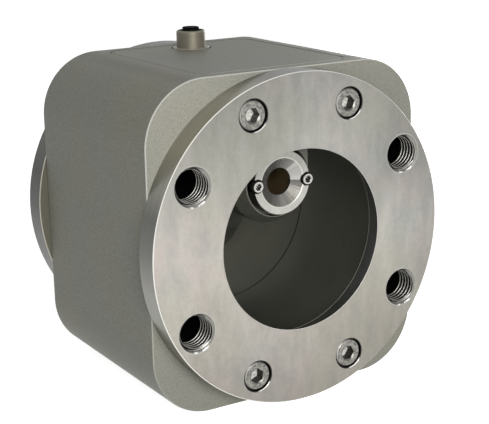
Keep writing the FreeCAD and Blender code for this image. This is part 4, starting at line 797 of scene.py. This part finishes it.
def thread_profile():
    """One pitch of the thread as corners: place along the axis, and share of the thread's depth."""
    crest = THREAD_PITCH / 4
    slope = (THREAD_ROOT - THREAD_CREST) * math.tan(math.radians(30))
    start = (THREAD_PITCH - crest - 2 * slope) / 2
    return ((start, 0), (start + slope, 1), (start + slope + crest, 1), (start + 2 * slope + crest, 0))


def thread_ridge(mesh, centre, sign, length):
    """A helical ridge on the wall of one port hole, from the flange's outer face inwards."""
    count = int(THREAD_STEPS * (length / THREAD_PITCH - 1))
    fade = THREAD_STEPS * THREAD_FADE
    profile = thread_profile()
    rows = []
    for step in range(count + 1):
        angle = THREAD_START + 2 * math.pi * step / THREAD_STEPS
        height = (THREAD_ROOT - THREAD_CREST) * min(1, step / fade, (count - step) / fade)
        row = []
        for along, depth in profile:
            inward = THREAD_PITCH * step / THREAD_STEPS + along
            radius = THREAD_ROOT - height * depth + THREAD_OVERLAP
            corner = (
                centre[0] + radius * math.cos(angle),
                sign * (FACE - inward),
                centre[1] + sign * radius * math.sin(angle),
            )
            row.append(mesh.verts.new([MM * value for value in corner]))
        rows.append(row)
    for first, second in zip(rows, rows[1:]):
        for i in range(len(profile) - 1):
            mesh.faces.new((first[i], first[i + 1], second[i + 1], second[i]))


def make_threads(name, sign, material):
    """The thread ridges of one flange's four port holes."""
    mesh = bmesh.new()
    for x in (-PORT_X, PORT_X):
        for z in (BORE_AXIS - PORT_Z, BORE_AXIS + PORT_Z):
            thread_ridge(mesh, (x, z), sign, FACE - BLOCK_END)
    bmesh.ops.recalc_face_normals(mesh, faces=mesh.faces)
    data = bpy.data.meshes.new(name)
    mesh.to_mesh(data)
    mesh.free()
    made = bpy.data.objects.new(name, data)
    bpy.context.scene.collection.objects.link(made)
    made.data.materials.append(material)
    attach(made, "root")


# Camera, floor and light

def make_camera():
    """The photograph's camera, from its direction, distance and roll about the target."""
    away = Vector((
        math.sin(CAMERA_AZIMUTH) * math.cos(CAMERA_ELEVATION),
        -math.cos(CAMERA_AZIMUTH) * math.cos(CAMERA_ELEVATION),
        math.sin(CAMERA_ELEVATION),
    ))
    right = (-away).cross(Vector((0, 0, 1))).normalized()
    up = right.cross(-away)
    cos, sin = math.cos(CAMERA_ROLL), math.sin(CAMERA_ROLL)
    across = right * cos + up * sin
    upward = up * cos - right * sin
    data = bpy.data.cameras.new("camera")
    data.sensor_width = SENSOR
    data.lens = FOCAL_PIXELS / IMAGE_WIDTH * SENSOR
    data.clip_start = 0.01
    data.clip_end = 50
    camera = bpy.data.objects.new("camera", data)
    turn = Matrix((across, upward, away)).transposed().to_4x4()
    camera.matrix_world = Matrix.Translation(CAMERA_TARGET + away * CAMERA_DISTANCE) @ turn
    bpy.context.scene.collection.objects.link(camera)
    bpy.context.scene.camera = camera


def light_path(tree):
    """1 for rays that show the background: from the camera, off gloss and through glass."""
    path = tree.nodes.new("ShaderNodeLightPath")
    total = path.outputs["Is Camera Ray"]
    for name in ("Is Glossy Ray", "Is Transmission Ray"):
        larger = tree.nodes.new("ShaderNodeMath")
        larger.operation = "MAXIMUM"
        tree.links.new(total, larger.inputs[0])
        tree.links.new(path.outputs[name], larger.inputs[1])
        total = larger.outputs[0]
    return total


def make_world():
    """A white background that lights the part only dimly."""
    world = bpy.data.worlds.new("studio")
    bpy.context.scene.world = world
    world.use_nodes = True
    tree = world.node_tree
    tree.nodes.clear()
    shown = tree.nodes.new("ShaderNodeBackground")
    shown.inputs["Color"].default_value = (1, 1, 1, 1)
    shown.inputs["Strength"].default_value = 1.0
    lit = tree.nodes.new("ShaderNodeBackground")
    lit.inputs["Color"].default_value = (1, 1, 1, 1)
    lit.inputs["Strength"].default_value = WORLD_STRENGTH
    mix = tree.nodes.new("ShaderNodeMixShader")
    output = tree.nodes.new("ShaderNodeOutputWorld")
    tree.links.new(light_path(tree), mix.inputs[0])
    tree.links.new(lit.outputs[0], mix.inputs[1])
    tree.links.new(shown.outputs[0], mix.inputs[2])
    tree.links.new(mix.outputs[0], output.inputs["Surface"])


def make_floor():
    """A matt floor that shows as white as the background and keeps a soft shadow."""
    mesh = bmesh.new()
    bmesh.ops.create_circle(mesh, cap_ends=True, segments=64, radius=FLOOR_SIZE)
    data = bpy.data.meshes.new("floor")
    mesh.to_mesh(data)
    mesh.free()
    floor = bpy.data.objects.new("floor", data)
    bpy.context.scene.collection.objects.link(floor)
    material = bpy.data.materials.new("floor")
    material.use_nodes = True
    tree = material.node_tree
    tree.nodes.clear()
    matt = tree.nodes.new("ShaderNodeBsdfDiffuse")
    matt.inputs["Color"].default_value = (*grey(FLOOR_GREY), 1)
    glow = tree.nodes.new("ShaderNodeEmission")
    strength = tree.nodes.new("ShaderNodeMath")
    strength.operation = "MULTIPLY"
    strength.inputs[1].default_value = FLOOR_GLOW
    tree.links.new(light_path(tree), strength.inputs[0])
    tree.links.new(strength.outputs[0], glow.inputs["Strength"])
    both = tree.nodes.new("ShaderNodeAddShader")
    output = tree.nodes.new("ShaderNodeOutputMaterial")
    tree.links.new(matt.outputs[0], both.inputs[0])
    tree.links.new(glow.outputs[0], both.inputs[1])
    tree.links.new(both.outputs[0], output.inputs["Surface"])
    floor.data.materials.append(material)


def make_lamp(name, place, power):
    """A square soft lamp that faces the middle of the part."""
    data = bpy.data.lights.new(name, "AREA")
    data.size = LAMP_SIZE
    data.energy = power
    made = bpy.data.objects.new(name, data)
    made.location = place
    away = Vector((0, 0, BORE_AXIS * MM)) - Vector(place)
    made.rotation_euler = away.to_track_quat("-Z", "Y").to_euler()
    bpy.context.scene.collection.objects.link(made)


make_camera()
make_world()
make_floor()
make_lamp("key", KEY_LAMP, KEY_POWER)
make_lamp("side", SIDE_LAMP, SIDE_POWER)

finishes = build_finishes()
slot_of = {row["node"]: row["material_slot"] for row in frame["record"]["subparts"]}
slot_of.update(dict.fromkeys(UPRIGHT_SCREWS, "upright_screw_steel"))
slot_of["probe_carrier"] = "carrier_shade"
for name, node in frame["nodes"].items():
    dress(node, finishes[slot_of[name]])
make_threads("front_port_threads", -1, finishes["thread_steel"])
make_threads("rear_port_threads", 1, finishes["thread_steel"])

bpy.context.scene.view_settings.view_transform = "Standard"
